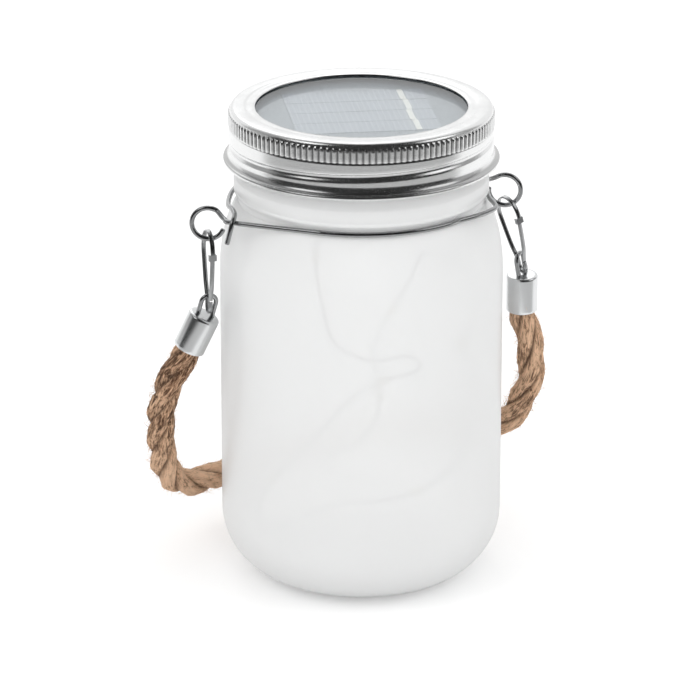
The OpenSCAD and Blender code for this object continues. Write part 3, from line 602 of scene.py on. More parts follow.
class RopeOperator(bpy.types.Operator):
    """Twists three jute strands, each of several yarns, and adds the loose fibres"""
    bl_idname = "lantern.rope"
    bl_label = "Rope handle"

    def execute(self, context):
        sizes, _ = settings()
        centre = rope_centre(0.65 * MM)
        frames = frames_along(centre, (0, 1, 0))
        run = np.r_[0, np.cumsum(np.linalg.norm(np.diff(centre, axis=0), axis=1))]
        strand_r, helix_r = sizes.rope * 0.305, sizes.rope * 0.245
        sides, yarns = 24, 5
        whole = bpy.data.meshes.new("jute_rope")
        for strand in range(3):
            bm = bmesh.new()
            lay = bm.verts.layers.float_vector.new("lay")
            crease_shade = bm.verts.layers.float.new("crease_shade")
            paler_low_right = bm.verts.layers.float.new("paler_low_right")
            line = []
            for k, frame_k in enumerate(frames):
                turn = TAU * (run[k] / sizes.lay + strand / 3)
                wander = 1 + 0.10 * noise.noise(Vector((run[k] * 90, strand * 7.3, 1.7)))
                held = min(run[k], run[-1] - run[k]) - ROPE_DEPTH * MM
                wander *= 0.80 + 0.20 * max(0.0, min(1.0, held / (3 * MM)))
                line.append(frame_k @ Vector((helix_r * wander * math.cos(turn),
                                              helix_r * wander * math.sin(turn), 0)))
            own = frames_along(line, (0, 1, 0))
            rings = sweep(bm, own, circle(strand_r, sides))
            for k, ring in enumerate(rings):
                mid, hub = own[k].translation, frames[k].translation
                out = (mid - hub).normalized()
                held = min(run[k], run[-1] - run[k]) - ROPE_DEPTH * MM
                free = max(0.0, min(1.0, held / (3 * MM)))
                swell = 0.90 + free * (0.10 + 0.08 * noise.noise(Vector((run[k] * 160, strand * 3.1, 0.4))))
                for j, vert in enumerate(ring):
                    arm = vert.co - mid
                    angle = TAU * j / sides
                    twist = angle * yarns - TAU * run[k] / (13 * MM)
                    lobe = 1 + 0.045 * math.cos(twist)
                    at = Vector((math.cos(angle) * 2.6, math.sin(angle) * 2.6, run[k] * 420 + strand * 31))
                    ragged = free * (0.10 * noise.noise(at) + 0.06 * noise.noise(at * 2.7))
                    vert.co = mid + arm * (swell * (lobe + ragged))
                    slide = run[k] + angle * 0.0019
                    vert[lay] = (strand_r * math.cos(angle) + strand * 0.01, strand_r * math.sin(angle), slide)
                    # Painted shade: faces turned in towards the other strands, and the yarn grooves, get a darker
                    # colour
                    facing = arm.normalized().dot(out)
                    depth = max(0.0, min(1.0, (0.28 - facing) / 0.5))
                    vert[crease_shade] = min(1.0, depth + 0.12 * max(0.0, -math.cos(twist)))
                    # Paler towards the bottom of the loop and on the right half
                    low = max(0.0, min(1.0, (0.046 - mid.z) / 0.024))
                    vert[paler_low_right] = max(low, 0.45 * max(0.0, min(1.0, mid.x / 0.03)))
            if strand:
                bm.from_mesh(whole)
            bm.to_mesh(whole)
            bm.free()
        bm = bmesh.new()
        bm.from_mesh(whole)
        bpy.data.meshes.remove(whole)
        rope = finish_mesh(bm, "jute_rope", jute())
        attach(rope, "handle")
        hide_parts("rope")

        rng = np.random.default_rng(17)
        inside = np.searchsorted(run, [ROPE_DEPTH * MM + 0.001, run[-1] - ROPE_DEPTH * MM - 0.001])
        grown = []
        while len(grown) < sizes.fibres:
            here = frames[int(rng.integers(inside[0], inside[1]))]
            s, n, t = (here.to_3x3().col[i].copy() for i in range(3))
            a = rng.uniform(0, TAU)
            out = s * math.cos(a) + n * math.sin(a)
            around = t.cross(out)
            length = float(rng.gamma(3.0, 0.6)) * MM + 0.6 * MM
            rise = float(rng.uniform(0.08, 0.75))
            way = (t * float(rng.choice((-1, 1))) + around * float(rng.uniform(-0.5, 0.9))).normalized()
            curl = around * float(rng.normal(0, 0.35))
            p = here.translation + out * (sizes.rope / 2 - 0.35 * MM)
            pts, d = [p], (way * (1 - rise) + out * rise).normalized()
            for _ in range(3):
                p = p + d * length / 3
                pts.append(p)
                d = (d + (curl - out * 0.28) * 0.5).normalized()
            if max((q - here.translation).dot(out) for q in pts) > sizes.rope / 2 + 2.4 * MM:
                continue
            if min(q.xy.length for q in pts) < (BODY_R + 0.1) * MM:
                continue
            places = frames_along([tuple(q) for q in pts], tuple(out))
            thick = float(rng.uniform(0.028, 0.055)) * MM
            grown.append([[place @ Vector((x, y, 0)) for x, y in circle(thick * taper, 3)]
                          for place, taper in zip(places, (1, 1, 0.8, 0.35))])
        hairs = bmesh.new()
        index = hairs.verts.layers.int.new("hair")
        edges = []
        for k, rings in enumerate(grown):
            corners = [hairs.verts.new(q) for q in rings[0]]
            for j, corner in enumerate(corners):
                corner[index] = 3 * k + j
            edges += [hairs.edges.new((corners[j - 1], corners[j])) for j in range(3)]
        for level_k in (1, 2, 3):
            made = bmesh.ops.extrude_edge_only(hairs, edges=edges)["geom"]
            fresh = {e for e in made if isinstance(e, bmesh.types.BMVert)}
            edges = [e for e in made if isinstance(e, bmesh.types.BMEdge)
                     and e.verts[0] in fresh and e.verts[1] in fresh]
            for vert in fresh:
                k, j = divmod(vert[index], 3)
                vert.co = grown[k][level_k][j]
        fluff = finish_mesh(hairs, "jute_fibres", jute_fibre())
        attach(fluff, "handle")
        return {"FINISHED"}


# ---- Light string ----

STRING_ROUTE = [
    (-7, 10, 118.45), (-7, 10, 108.45), (-10, 2, 107), (-17, -14, 106), (-21, -22, 103), (-21, -26, 93),
    (-18, -29, 80), (-9, -33, 75), (2, -33, 75), (4, -34, 71), (-6, -34, 69), (-15, -31, 63),
    (-22, -27, 53), (-27, -21, 44), (-31, -15, 36), (-33, -10, 28), (-32, -13, 20), (-26, -23, 27),
    (-18, -29, 32), (-8, -33, 33), (4, -34, 35), (13, -31, 38), (21, -27, 44), (24, -24, 52),
    (25, -22, 64), (19, -28, 75), (25, -23, 84), (24, -18, 94), (14, -24, 100), (6, -31, 103),
    (2, -33, 97), (-2, -30, 88), (-4, -25, 80), (-5, -24, 72), (-6, -31, 64), (-8, -33, 57),
    (-13, -31, 50), (-20, -27, 45), (-14, -14, 36), (2, -2, 26), (14, 10, 16)]
LIGHT_AT = (4, 10, 14, 20, 25, 31, 34)
LIGHT_LEN, LIGHT_D = 4.2, 2.4


class LightStringOperator(bpy.types.Operator):
    """Runs the light string from the circuit board down into the jar, with its resin drops"""
    bl_idname = "lantern.light_string"
    bl_label = "Light string"

    def execute(self, context):
        sizes, _ = settings()
        p = [Vector(q) * MM for q in STRING_ROUTE]
        line = smooth_route(p, 0.9 * MM)
        bm = bmesh.new()
        tube(bm, line, sizes.string_wire / 2, 8, (1, 0, 0))
        wire = finish_mesh(bm, "string_wire", string_sheath())
        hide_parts("light_string_wire")
        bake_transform(wire)

        bm = bmesh.new()
        half = (LIGHT_LEN - LIGHT_D) / 2 * MM
        for k in LIGHT_AT:
            heading = (p[k + 1] - p[k - 1]).normalized()
            place = heading.to_track_quat("Z", "X").to_matrix().to_4x4()
            place.translation = p[k]
            drop = bmesh.ops.create_uvsphere(bm, u_segments=20, v_segments=12, radius=LIGHT_D / 2 * MM)["verts"]
            for vert in drop:
                vert.co.z += half if vert.co.z > 1e-6 else -half if vert.co.z < -1e-6 else 0
            bmesh.ops.transform(bm, verts=drop, matrix=place)
        beads = finish_mesh(bm, "string_lights", bead_resin())
        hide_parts("light_beads")
        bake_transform(beads)
        return {"FINISHED"}


# ---- Jar ----

def ellipse_corner(r0, z0, r1, z1, steps):
    return [(r0 + (r1 - r0) * math.sin(a), z1 - (z1 - z0) * math.cos(a))
            for a in np.linspace(0, math.pi / 2, steps)]


def shoulder_curve(r1, z0, r0, z1, steps):
    return [(r0 + (r1 - r0) * max(0.0, math.cos(a)) ** 1.5, z0 + (z1 - z0) * math.sin(a))
            for a in np.linspace(0, math.pi / 2, steps)]


def level(r0, z0, r1, z1, steps):
    """Evenly spaced points between two, without the ends"""
    return [(r0 + (r1 - r0) * k / steps, z0 + (z1 - z0) * k / steps) for k in range(1, steps)]


def arc(cr, cz, r, start, end, steps):
    return [(cr + r * math.cos(a), cz + r * math.sin(a))
            for a in np.radians(np.linspace(start, end, steps + 1))]


class JarOperator(bpy.types.Operator):
    """Spins the frosted jar with its foot, bead, screw thread and rim"""
    bl_idname = "lantern.jar"
    bl_label = "Jar"

    def execute(self, context):
        foot_in = FOOT_R - 2.7
        outside = ([(0, PUSH_UP), (foot_in - 2.4, PUSH_UP), (foot_in - 1.6, PUSH_UP - 0.15), (foot_in - 0.5, 0.2),
                    (foot_in + 0.3, 0)]
                   + ellipse_corner(FOOT_R, 0, BODY_R, CORNER_H, 22)
                   + level(BODY_R, CORNER_H, BODY_R, SHOULDER_Z, 14)
                   + shoulder_curve(BODY_R, SHOULDER_Z, GROOVE_R, GROOVE_Z - 0.6, 26)
                   + [(GROOVE_R, GROOVE_Z + 0.6), (GROOVE_R + 0.15, GROOVE_Z + 1.1), (BEAD_R - 0.3, BEAD_Z),
                      (BEAD_R - 0.05, BEAD_Z + 0.3), (BEAD_R, BEAD_Z + 0.7), (BEAD_R, 114.2),
                      (BEAD_R - 0.12, 114.4), (BEAD_R - 0.12, 114.6), (BEAD_R, 114.8), (BEAD_R, BEAD_TOP - 0.6),
                      (BEAD_R - 0.08, BEAD_TOP - 0.1), (BEAD_R - 0.35, BEAD_TOP + 0.3),
                      (FINISH_R + 0.5, BEAD_TOP + 2), (FINISH_R + 0.08, BEAD_TOP + 2.7)]
                   + level(FINISH_R, BEAD_TOP + 2.7, FINISH_R, RIM_Z - 1, 26)
                   + arc(FINISH_R - 1, RIM_Z - 1, 1, 15, 90, 6))
        inside = ([(MOUTH_R + 0.8, RIM_Z), (MOUTH_R + 0.2, RIM_Z - 0.2), (MOUTH_R, RIM_Z - 0.8)]
                  + level(MOUTH_R, RIM_Z - 0.8, MOUTH_R, GROOVE_Z, 6)
                  + shoulder_curve(BODY_R - GLASS_T, SHOULDER_Z - 2, MOUTH_R, GROOVE_Z, 26)[::-1]
                  + level(BODY_R - GLASS_T, SHOULDER_Z - 2, BODY_R - GLASS_T, CORNER_H + 1, 8)
                  + ellipse_corner(foot_in, BASE_T, BODY_R - GLASS_T, CORNER_H + 1, 22)[::-1]
                  + [(foot_in - 1.3, BASE_T), (foot_in - 3, BASE_T + 0.5), (0, BASE_T + PUSH_UP)])
        bm = bmesh.new()
        spun(bm, outside + inside, 192)
        for vert in bm.verts:
            r, z = vert.co.xy.length / MM, vert.co.z / MM
            if r > MOUTH_R + 2 and BEAD_TOP + 2.6 < z < RIM_Z - 0.9:
                turn = math.degrees(math.atan2(vert.co.y, vert.co.x)) % 360
                start = RIM_Z - 1.9 - 1.25 * PITCH
                rise = 0.0
                for lap in range(2):
                    run = turn + 360 * lap - 70
                    if 0 <= run <= 440:
                        away = abs(z - (start + PITCH * run / 360))
                        fade = min(1.0, run / 15, (440 - run) / 15)
                        rise = max(rise, fade * max(0.0, min(1.0, (1.25 - away) / 0.8)))
                push = 1.3 * (rise * rise * (3 - 2 * rise)) / r
                vert.co.x *= 1 + push
                vert.co.y *= 1 + push
        mark_sharp(bm, 60)
        rim = MOUTH_R + 0.9
        for face in bm.faces:
            middle = face.calc_center_median()
            r, z = middle.xy.length / MM, middle.z / MM
            wall = np.interp(z, (0, CORNER_H, SHOULDER_Z, GROOVE_Z, RIM_Z), (FOOT_R, BODY_R, BODY_R, GROOVE_R, rim))
            inner = r < rim and z > GROOVE_Z or r < wall - 1.6 and z > BASE_T - 0.6 and CORNER_H < z <= GROOVE_Z
            face.material_index = int(inner or z > BASE_T - 0.6 and z <= CORNER_H
                                      and r < foot_in + (BODY_R - GLASS_T - foot_in) * 1.02
                                      * math.sqrt(max(0.0, 1 - ((CORNER_H + 1 - z) / (CORNER_H + 1 - BASE_T)) ** 2)) + 0.3)
        jar = finish_mesh(bm, "frosted_jar", frosted_glass())
        jar.data.materials.append(inner_glass())
        replace_node(jar, "jar", "glass_jar", "glass_jar")
        return {"FINISHED"}


# ---- Screw band ----

RIB_STEPS = 6


def thread_depth_at(z, turn):
    """How deep the rolled thread dips at a height and an angle, from 0 to 1"""
    start, depth = KNURL_TOP - KNURL_H - 7.9, 0.0
    for lap in range(-1, 2):
        run = (turn - 340) % 360 + 360 * lap
        if -20 <= run <= 380:
            away = abs(z - (start + PITCH * run / 360))
            fade = max(0.0, min(1.0, (run + 20) / 30, (380 - run) / 30))
            depth = max(depth, fade * (0.5 + 0.5 * math.cos(math.pi * min(1.0, away / 1.45))))
    return depth


class BandOperator(bpy.types.Operator):
    """Spins the screw band, rolls its ribs, its thread and its hem into the sheet, and marks where shade is painted
    into its colour
    """
    bl_idname = "lantern.band"
    bl_label = "Screw band"

    def execute(self, context):
        sizes, _ = settings()
        foot = KNURL_TOP - KNURL_H
        hem_c = (HEM_R - HEM_D / 2, HEM_Z + HEM_D / 2)
        land = BAND_TOP - 0.25
        outer = ([(WINDOW_R, land - SHEET_T / 2), (WINDOW_R + 0.08, land - 0.08), (WINDOW_R + 0.25, land),
                  (WINDOW_R + 1.4, land), (STEP_R - 0.7, land), (STEP_R - 0.3, land + 0.05),
                  (STEP_R, BAND_TOP - 0.06), (STEP_R + 0.3, BAND_TOP)]
                 + arc(KNURL_ROOT - TOP_ROUND, KNURL_TOP, TOP_ROUND, 90, 12, 9)
                 + [(KNURL_ROOT, KNURL_TOP + 0.12), (KNURL_ROOT, KNURL_TOP - 0.12), (KNURL_ROOT, KNURL_TOP - 0.4)]
                 + level(KNURL_ROOT, KNURL_TOP - 0.4, KNURL_ROOT, foot + 0.4, 4)
                 + [(KNURL_ROOT, foot + 0.4), (KNURL_ROOT, foot + 0.12), (KNURL_ROOT, foot - 0.12)]
                 + level(WALL_R, foot - 0.12, WALL_R, HEM_Z + 3.2, 24)
                 + [(WALL_R, HEM_Z + 3.2), (WALL_R + 0.1, HEM_Z + 2.7), (WALL_R + 0.3, HEM_Z + 2.2),
                    (WALL_R + 0.6, HEM_Z + 1.7), (hem_c[0] + 0.05, hem_c[1] + HEM_D / 2)]
                 + arc(hem_c[0], hem_c[1], HEM_D / 2, 70, -180, 16))
        inner = ([(hem_c[0] - 0.65, hem_c[1] + 0.25), (WALL_R + 0.2, HEM_Z + 1.5), (WALL_R - 0.3, HEM_Z + 2.1),
                  (WALL_R - SHEET_T, HEM_Z + 3.1)]
                 + level(WALL_R - SHEET_T, HEM_Z + 3.1, WALL_R - SHEET_T, foot - 0.5, 20)
                 + [(WALL_R - SHEET_T, foot - 0.5), (KNURL_ROOT - SHEET_T, foot - 0.2),
                    (KNURL_ROOT - SHEET_T, KNURL_TOP)]
                 + arc(KNURL_ROOT - TOP_ROUND, KNURL_TOP, TOP_ROUND - SHEET_T, 12, 90, 4)
                 + [(STEP_R, BAND_TOP - SHEET_T), (STEP_R - 0.3, land - SHEET_T)])
        bm = bmesh.new()
        # Painted shade: a vertex value saying how far the band's colour is darkened
        hollow_shade = bm.verts.layers.float.new("hollow_shade")
        ribs = sizes.rib_count
        spun(bm, outer + inner, ribs * RIB_STEPS, closed=True)
        outer_wall = {round(z, 3) for r, z in outer if HEM_Z + 1.8 < z < foot + 0.1}
        for vert in bm.verts:
            r, z = vert.co.xy.length / MM, vert.co.z / MM
            turn = math.degrees(math.atan2(vert.co.y, vert.co.x))
            shift = 0.0
            if abs(r - KNURL_ROOT) < 0.02 and foot - 0.05 < z < KNURL_TOP - 0.05:
                wave = min(1.0, 0.75 * (1 - math.cos(math.radians(turn) * ribs)))
                end = max(0.0, min(1.0, (z - foot + 0.1) / 0.3, (KNURL_TOP + 0.1 - z) / 0.3))
                shift = sizes.rib_height / MM * wave * end
                # Painted shade, deepest in the valleys between the ribs
                vert[hollow_shade] = max(0.0, 0.9 - 1.2 * wave) * end
            elif HEM_Z + 1.8 < z < foot - 0.3 and r > WALL_R - SHEET_T - 0.1:
                dip = thread_depth_at(z, turn)
                shift = 0.10 - sizes.thread_depth / MM * dip if round(z, 3) in outer_wall else -0.5 * dip
            # Painted shade in the crease just above the hem
            if r > WALL_R + 0.2 and HEM_Z + 0.9 < z < HEM_Z + 1.9:
                vert[hollow_shade] = 0.45
            vert.co.x *= 1 + shift / r
            vert.co.y *= 1 + shift / r
        mark_sharp(bm, 65)
        band = finish_mesh(bm, "tinplate_band", zinc_band())
        replace_node(band, "band", "screw_band", "screw_band")
        return {"FINISHED"}


# ---- Window ----

class WindowOperator(bpy.types.Operator):
    """Turns the clear window disc with a softened edge"""
    bl_idname = "lantern.window"
    bl_label = "Window"

    def execute(self, context):
        low, high, r = 135.35, 136.85, 35.75
        bm = bmesh.new()
        spun(bm, [(0, low), (r - 0.2, low), (r, low + 0.2), (r, high - 0.2), (r - 0.2, high), (0, high)], 168)
        mark_sharp(bm, 40)
        window = finish_mesh(bm, "clear_window", clear_window())
        replace_node(window, "window", "window_disc", "window_disc")
        return {"FINISHED"}


# ---- Wires ----

EYE_R, EYE_Z, EYE_TURN = 4.5, 108.0, math.radians(24)
REACH_LEFT, REACH_RIGHT = 45.0, 43.0
HOOK_FRONT = [(22.5, -29, 111.5), (27.5, -26.5, 111.5), (31, -23.5, 111.5), (32, -19.5, 111.5),
              (32.5, -15, 111.5), (33.5, -10.5, 112), (35.5, -4.5, 112.5), (37, 2, 113), (38.5, 7, 112.5),
              (40, 9.5, 110.5), (41, 10.5, 105)]
HOOK_BACK = [(25.4, -25.4, 111.5), (31.4, -17.3, 111.5), (34.5, -11.5, 112), (37, -6, 112), (39, 0, 112.5),
             (39.5, 5, 113), (40, 8.5, 112.5), (41.5, 10.5, 110.5), (43, 10.5, 105)]


def eye_point(reach, a):
    a = math.radians(a)
    return (-reach - EYE_R * math.cos(EYE_TURN) * math.cos(a), EYE_R * math.sin(EYE_TURN) * math.cos(a),
            EYE_Z + EYE_R * math.sin(a))


def ring_point(a):
    r = GROOVE_R + 0.8
    return (r * math.cos(math.radians(a)), r * math.sin(math.radians(a)), GROOVE_Z)


def wire_points(reach, tip, ring_from, hook):
    """Route of one wire: its eye, the shank, the groove and the hook"""
    return ([eye_point(reach, a) for a in range(tip, 125, 15)]
            + [eye_point(reach, 125), (3.4 - reach, -4.5, GROOVE_Z - 1.2), (4.8 - reach, -9, GROOVE_Z - 1)]
            + [ring_point(a) for a in range(ring_from, 301, 6)] + hook)


class WiresOperator(bpy.types.Operator):
    """Bends the two hanger wires round the neck"""
    bl_idname = "lantern.wires"
    bl_label = "Hanger wires"

    def execute(self, context):
        sizes, _ = settings()
        front = np.array(wire_points(REACH_LEFT, -160, 228, HOOK_FRONT)) * MM
        back = np.array(wire_points(REACH_RIGHT, -190, 216, HOOK_BACK)) * MM * (-1, -1, 1)
        for name, node, route in (("hanger_wire_front", "neck_wire_front", front),
                                  ("hanger_wire_back", "neck_wire_back", back)):
            wire = rod(name, route, sizes.wire / 2, steel_wire())
            replace_node(wire, "jar", "wire", node)
        return {"FINISHED"}


# ---- Snap hooks ----

SNAP_LEN, STRIP_W, STRIP_T = 24.0, 1.3, 0.4
LATCH_D, LATCH_LEN, PEAR_W, BULB_W = 5.9, 1.7, 4.2, 1.3
PIVOT_Z, SNAP_RISE = 103.5, 2.4


def snap_place(reach, lean, turn):
    return (Matrix.Translation((reach * MM, 0, (PIVOT_Z + SNAP_RISE) * MM))
            @ Matrix.Rotation(math.radians(-lean), 4, "Y") @ Matrix.Rotation(math.radians(turn), 4, "Z"))


def strip(bm, outline, place, width=STRIP_W, thick=STRIP_T):
    """Bends a strip with rounded edges through an outline of (across, up) points"""
    w, t, c = width / 2 * MM, thick / 2 * MM, thick * 0.28 * MM
    loop = [(w - c, -t), (w - c * 0.3, -t + c * 0.3), (w, -t + c), (w, t - c), (w - c * 0.3, t - c * 0.3),
            (w - c, t), (-w + c, t), (-w + c * 0.3, t - c * 0.3), (-w, t - c), (-w, -t + c),
            (-w + c * 0.3, -t + c * 0.3), (-w + c, -t)]
    route = smooth_route([(0, a * MM, b * MM) for a, b in outline], 0.4 * MM)
    frames = [place @ f for f in frames_along(route, (1, 0, 0))]
    sweep(bm, frames, loop)


class SnapsOperator(bpy.types.Operator):
    """Bends the two snap hooks and their spring gates"""
    bl_idname = "lantern.snaps"
    bl_label = "Snap hooks"

    def execute(self, context):
        pear = [(1.2, 0.25), (2.3, 0.9), (3.2, 2), (3.9, 3.8), (PEAR_W, LATCH_D)]
        bulb = [(2.6, SNAP_LEN - 8.5), (1.6, SNAP_LEN - 5.3), (BULB_W + 0.05, SNAP_LEN - 3.5),
                (BULB_W, SNAP_LEN - 1.7), (0.8, SNAP_LEN - 0.4)]
        root = SNAP_LEN - 3.9
        hook = ([(BULB_W, -(root + STRIP_T + 0.05)), (BULB_W, -(SNAP_LEN - 1.7)), (0.8, -(SNAP_LEN - 0.4)),
                 (0, -SNAP_LEN)]
                + [(-a, -b) for a, b in bulb[::-1] + [(3.7, 9.5)] + pear[::-1]]
                + [(0, 0)] + [(a, -b) for a, b in pear] + [(PEAR_W, -(LATCH_D + LATCH_LEN))])
        gate = [(BULB_W + 0.05, -root), (1.75, -(SNAP_LEN - 5.3)), (2.7, -(SNAP_LEN - 8.5)), (3.5, -9.5),
                (PEAR_W - STRIP_T - 0.1, -(LATCH_D + 0.2))]
        for side, place in (("left", snap_place(-REACH_LEFT, 0, 180)),
                            ("right", snap_place(REACH_RIGHT, 15, 200))):
            bm = bmesh.new()
            strip(bm, hook, place)
            for s in (-1, 1):
                across = (STRIP_W / 2 + 0.15 + 0.125) * s
                lug = place @ Matrix.Translation((across * MM, 0, 0))
                middle = -(LATCH_D + LATCH_LEN / 2)
                edge = bmesh.ops.create_cube(bm, size=1)["verts"]
                bmesh.ops.transform(bm, verts=edge, matrix=lug @ Matrix.Translation(
                    (0, (PEAR_W - 0.38) * MM, middle * MM)) @ Matrix.Diagonal((0.25 * MM, 1.25 * MM, 1.7 * MM, 1)))
            back = bmesh.ops.create_cube(bm, size=1)["verts"]
            bmesh.ops.transform(bm, verts=back, matrix=place @ Matrix.Translation(
                (0, (PEAR_W + 0.125) * MM, -(LATCH_D + LATCH_LEN / 2) * MM))
                @ Matrix.Diagonal((2.1 * MM, 0.25 * MM, 1.7 * MM, 1)))
            mark_sharp(bm, 50)
            body = finish_mesh(bm, "snap_body_" + side, steel_wire())
            replace_node(body, "handle", "snap", "snap_hook_" + side)
            bm = bmesh.new()
            strip(bm, gate, place)
            mark_sharp(bm, 50)
            tongue = finish_mesh(bm, "snap_tongue_" + side, steel_wire())
            replace_node(tongue, "gate_" + side, "snap", "snap_gate_" + side)
        return {"FINISHED"}


# ---- End caps ----

def cap_place(top, lean, turn):
    return (Matrix.Translation(top * MM) @ Matrix.Rotation(math.radians(lean[1]), 4, "Y")
            @ Matrix.Rotation(math.radians(lean[0]), 4, "X") @ Matrix.Rotation(math.radians(turn), 4, "Z"))


class CapsOperator(bpy.types.Operator):
    """Turns the two end caps and bends the wire eyes that stand in them"""
    bl_idname = "lantern.caps"
    bl_label = "End caps"

    def execute(self, context):
        loop_d, loop_w, loop_h, wall = 1.3, 3.0, 7.0, 0.5
        loop_r = (loop_w + loop_d) / 2
        leg = loop_h - loop_r - loop_d / 2
        for side, top, lean, eye_lean, eye_turn in (
                ("left", CAP_LEFT, LEAN_LEFT, (12, 12), 0), ("right", CAP_RIGHT, LEAN_RIGHT, (0, -10), 42)):
            r, z = CAP_D / 2, -CAP_LEN
            profile = ([(0, 0), (r - 1.4, 0)] + arc(r - 0.8, -0.8, 0.8, 90, 0, 7)
                       + [(r, z + 0.9), (r, z + 0.15), (r - 0.12, z), (r - wall + 0.1, z), (r - wall, z + 0.12),
                          (r - wall, -2 * wall - 0.2), (r - wall - 0.3, -2 * wall), (0, -2 * wall)])
            bm = bmesh.new()
            spun(bm, profile, 72)
            bmesh.ops.transform(bm, verts=bm.verts, matrix=cap_place(top, lean, 0))
            mark_sharp(bm, 50)
            cap = finish_mesh(bm, "rope_cap_" + side, polished_cap())
            replace_node(cap, "handle", "cap", "end_cap_" + side)
            place = cap_place(top, eye_lean, eye_turn)
            bend = [(-loop_r, 0, -2 * wall), (-loop_r, 0, 0), (-loop_r, 0, leg / 2)]
            bend += [(-loop_r * math.cos(a), 0, leg + loop_r * math.sin(a)) for a in np.radians(range(0, 181, 15))]
            bend += [(loop_r, 0, leg / 2), (loop_r, 0, 0), (loop_r, 0, -2 * wall)]
            eye = rod("cap_loop_" + side, [tuple(place @ (Vector(q) * MM)) for q in bend], loop_d / 2 * MM,
                      steel_wire(), sides=18, step=0.35 * MM)
            replace_node(eye, "handle", "cap", "cap_eye_" + side)
        return {"FINISHED"}


# ---- Solar module ----

class ModuleOperator(bpy.types.Operator):
    """Finishes the solar panel and the parts of the module under it"""
    bl_idname = "lantern.module"
    bl_label = "Solar module"

    def execute(self, context):
        _, colours = settings()
        shell = tuple(colours.plastic)
        for node, material in (
                ("solar_cells", cell_coating()), ("solar_board", board_coating()),
                ("tab_ribbon", tinned_ribbon()), ("module_housing", plastic("module_shell", shell)),
                ("housing_cover", plastic("module_cover", shell, 0.5)),
                ("sealing_gasket", plastic("grey_rubber", (0.09, 0.09, 0.095), 0.75, 700, 0.15)),
                ("string_grommet", plastic("soft_grommet", (0.03, 0.03, 0.032), 0.65, 700, 0.2)),
                ("switch_body", plastic("switch_case", (0.02, 0.02, 0.022), 0.4)),
                ("switch_slider", plastic("switch_knob", (0.035, 0.035, 0.037), 0.35)),
                ("circuit_board", plastic("green_laminate", (0.02, 0.16, 0.07), 0.35, 500, 0.25)),
                ("board_parts", plastic("component_cases", (0.05, 0.05, 0.055), 0.4)),
                ("panel_leads", plastic("red_insulation", (0.50, 0.03, 0.025), 0.4)),
                ("battery_cell", plastic("battery_sleeve", (0.10, 0.36, 0.17), 0.3)),
                ("battery_plate", bare_metal("contact_plate", (0.66, 0.64, 0.60))),
                ("battery_spring", bare_metal("contact_spring", (0.66, 0.64, 0.60), 0.25)),
                ("cover_screws", bare_metal("screw_steel", (0.62, 0.62, 0.63), 0.28))):
            dress(node, material)
        return {"FINISHED"}


# ---- Stage ----

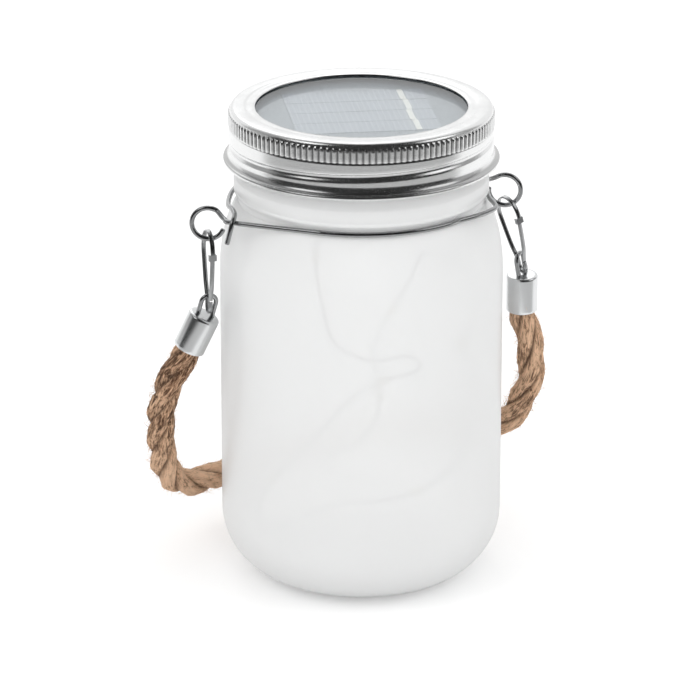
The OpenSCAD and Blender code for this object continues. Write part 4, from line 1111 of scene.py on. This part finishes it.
class StageOperator(bpy.types.Operator):
    """Lays the pale floor and hangs the soft studio lights"""
    bl_idname = "lantern.stage"
    bl_label = "Studio"

    def execute(self, context):
        scene = context.scene
        scene.view_settings.view_transform = "Standard"
        bm = bmesh.new()
        bmesh.ops.create_grid(bm, x_segments=1, y_segments=1, size=6)
        m = Shader("studio_floor", Base_Color=(0.90, 0.90, 0.90), Roughness=1.0, Specular_IOR_Level=0.0)
        floor = finish_mesh(bm, "studio_floor", m.material, smooth=False, recalc=False)
        rays = m.add("ShaderNodeLightPath")
        seen = m.maths("MAXIMUM", rays.outputs["Is Camera Ray"],
                       m.maths("MAXIMUM", rays.outputs["Is Glossy Ray"], rays.outputs["Is Transmission Ray"]))
        glow = m.add("ShaderNodeEmission")
        glow.inputs["Color"].default_value = (1, 1, 1, 1)
        m.link(m.maths("MULTIPLY", seen, 0.22), glow.inputs["Strength"])
        both = m.add("ShaderNodeAddShader")
        m.link(m.surface.outputs["BSDF"], both.inputs[0])
        m.link(glow.outputs["Emission"], both.inputs[1])
        m.link(both.outputs["Shader"], m.output.inputs["Surface"])

        world = bpy.data.worlds.new("studio_world")
        world.use_nodes = True
        scene.world = world
        tree = world.node_tree
        sky = tree.nodes["Background"]
        sky.inputs["Color"].default_value = (1, 1, 1, 1)
        path = tree.nodes.new("ShaderNodeLightPath")
        seen = path.outputs["Is Camera Ray"]
        for name in ("Is Glossy Ray", "Is Transmission Ray"):
            join = tree.nodes.new("ShaderNodeMath")
            join.operation = "MAXIMUM"
            tree.links.new(seen, join.inputs[0])
            tree.links.new(path.outputs[name], join.inputs[1])
            seen = join.outputs[0]
        strength = tree.nodes.new("ShaderNodeMapRange")
        strength.inputs["To Min"].default_value = 0.84
        strength.inputs["To Max"].default_value = 1.0
        tree.links.new(seen, strength.inputs["Value"])
        tree.links.new(strength.outputs["Result"], sky.inputs["Strength"])

        for name, place, size, power in (("key", (-1.5, -0.35, 1.6), 1.1, 4.5), ("fill", (1.2, -0.8, 1.1), 1.0, 3.0),
                                         ("low", (-0.55, -1.5, 0.32), 1.2, 6.4), ("back", (0.2, 1.4, 1.3), 1.2, 3.0)):
            lamp = bpy.data.lights.new("light_" + name, "AREA")
            lamp.shape, lamp.size, lamp.energy = "DISK", size, power
            light = bpy.data.objects.new("light_" + name, lamp)
            light.location = place
            light.visible_glossy = name != "low"
            light.rotation_mode = "QUATERNION"
            light.rotation_quaternion = (Vector((0, 0, 0.07)) - Vector(place)).to_track_quat("-Z", "Y")
            scene.collection.objects.link(light)

        facing = math.atan2(-1.10650, -0.39837)
        dome = [(2.3 * math.cos(a), 2.3 * math.sin(a)) for a in np.radians(np.linspace(3, 88, 15))]
        for name, outline, shade, middle, half in (
                ("studio_dome", [(0.52, 0.004), (2.29, 0.004)] + dome, 0.035, 0, 84),
                ("studio_wing_left", dome, 0.40, -102, 18), ("studio_wing_right", dome, 0.40, 102, 18),
                ("studio_card", [(0.12, 0.003), (0.52, 0.003)], 0.62, 0, 90)):
            bm = bmesh.new()
            rim = [bm.verts.new((r, 0, z)) for r, z in outline]
            edges = [bm.edges.new(pair) for pair in zip(rim, rim[1:])]
            bmesh.ops.rotate(bm, verts=rim, matrix=Matrix.Rotation(facing + math.radians(middle - half), 3, "Z"))
            bmesh.ops.spin(bm, geom=rim + edges, cent=(0, 0, 0), axis=(0, 0, 1), dvec=(0, 0, 0),
                           angle=math.radians(2 * half), steps=40)
            m = Shader(name, Base_Color=(shade, shade, shade), Roughness=1.0, Specular_IOR_Level=0.0)
            flag = finish_mesh(bm, name, m.material, recalc=False)
            flag.visible_camera = flag.visible_diffuse = flag.visible_shadow = False
            flag.visible_transmission = flag.visible_volume_scatter = False
        return {"FINISHED"}


STEPS = (CameraOperator, RopeOperator, LightStringOperator, JarOperator, BandOperator, WindowOperator,
         WiresOperator, SnapsOperator, CapsOperator, ModuleOperator, StageOperator)


class LanternPanel(bpy.types.Panel):
    """Lists the lantern's sizes, colours and pieces"""
    bl_idname = "VIEW3D_PT_lantern"
    bl_label = "Solar jar lantern"
    bl_space_type = "VIEW_3D"
    bl_region_type = "UI"
    bl_category = "Lantern"

    def draw(self, context):
        column = self.layout.column()
        for group in (context.scene.lantern_sizes, context.scene.lantern_colours):
            for key in group.bl_rna.properties.keys():
                if key not in {"rna_type", "name"}:
                    column.prop(group, key)
        for step in STEPS:
            column.operator(step.bl_idname)


CLASSES = (LanternSizes, LanternColours, *STEPS, LanternPanel)


def register():
    for cls in CLASSES:
        bpy.utils.register_class(cls)
    bpy.types.Scene.lantern_sizes = PointerProperty(type=LanternSizes)
    bpy.types.Scene.lantern_colours = PointerProperty(type=LanternColours)


def unregister():
    del bpy.types.Scene.lantern_colours
    del bpy.types.Scene.lantern_sizes
    for cls in reversed(CLASSES):
        bpy.utils.unregister_class(cls)


def main():
    register()
    for step in STEPS:
        section, name = step.bl_idname.split(".")
        getattr(getattr(bpy.ops, section), name)()


if __name__ == "__main__":
    main()
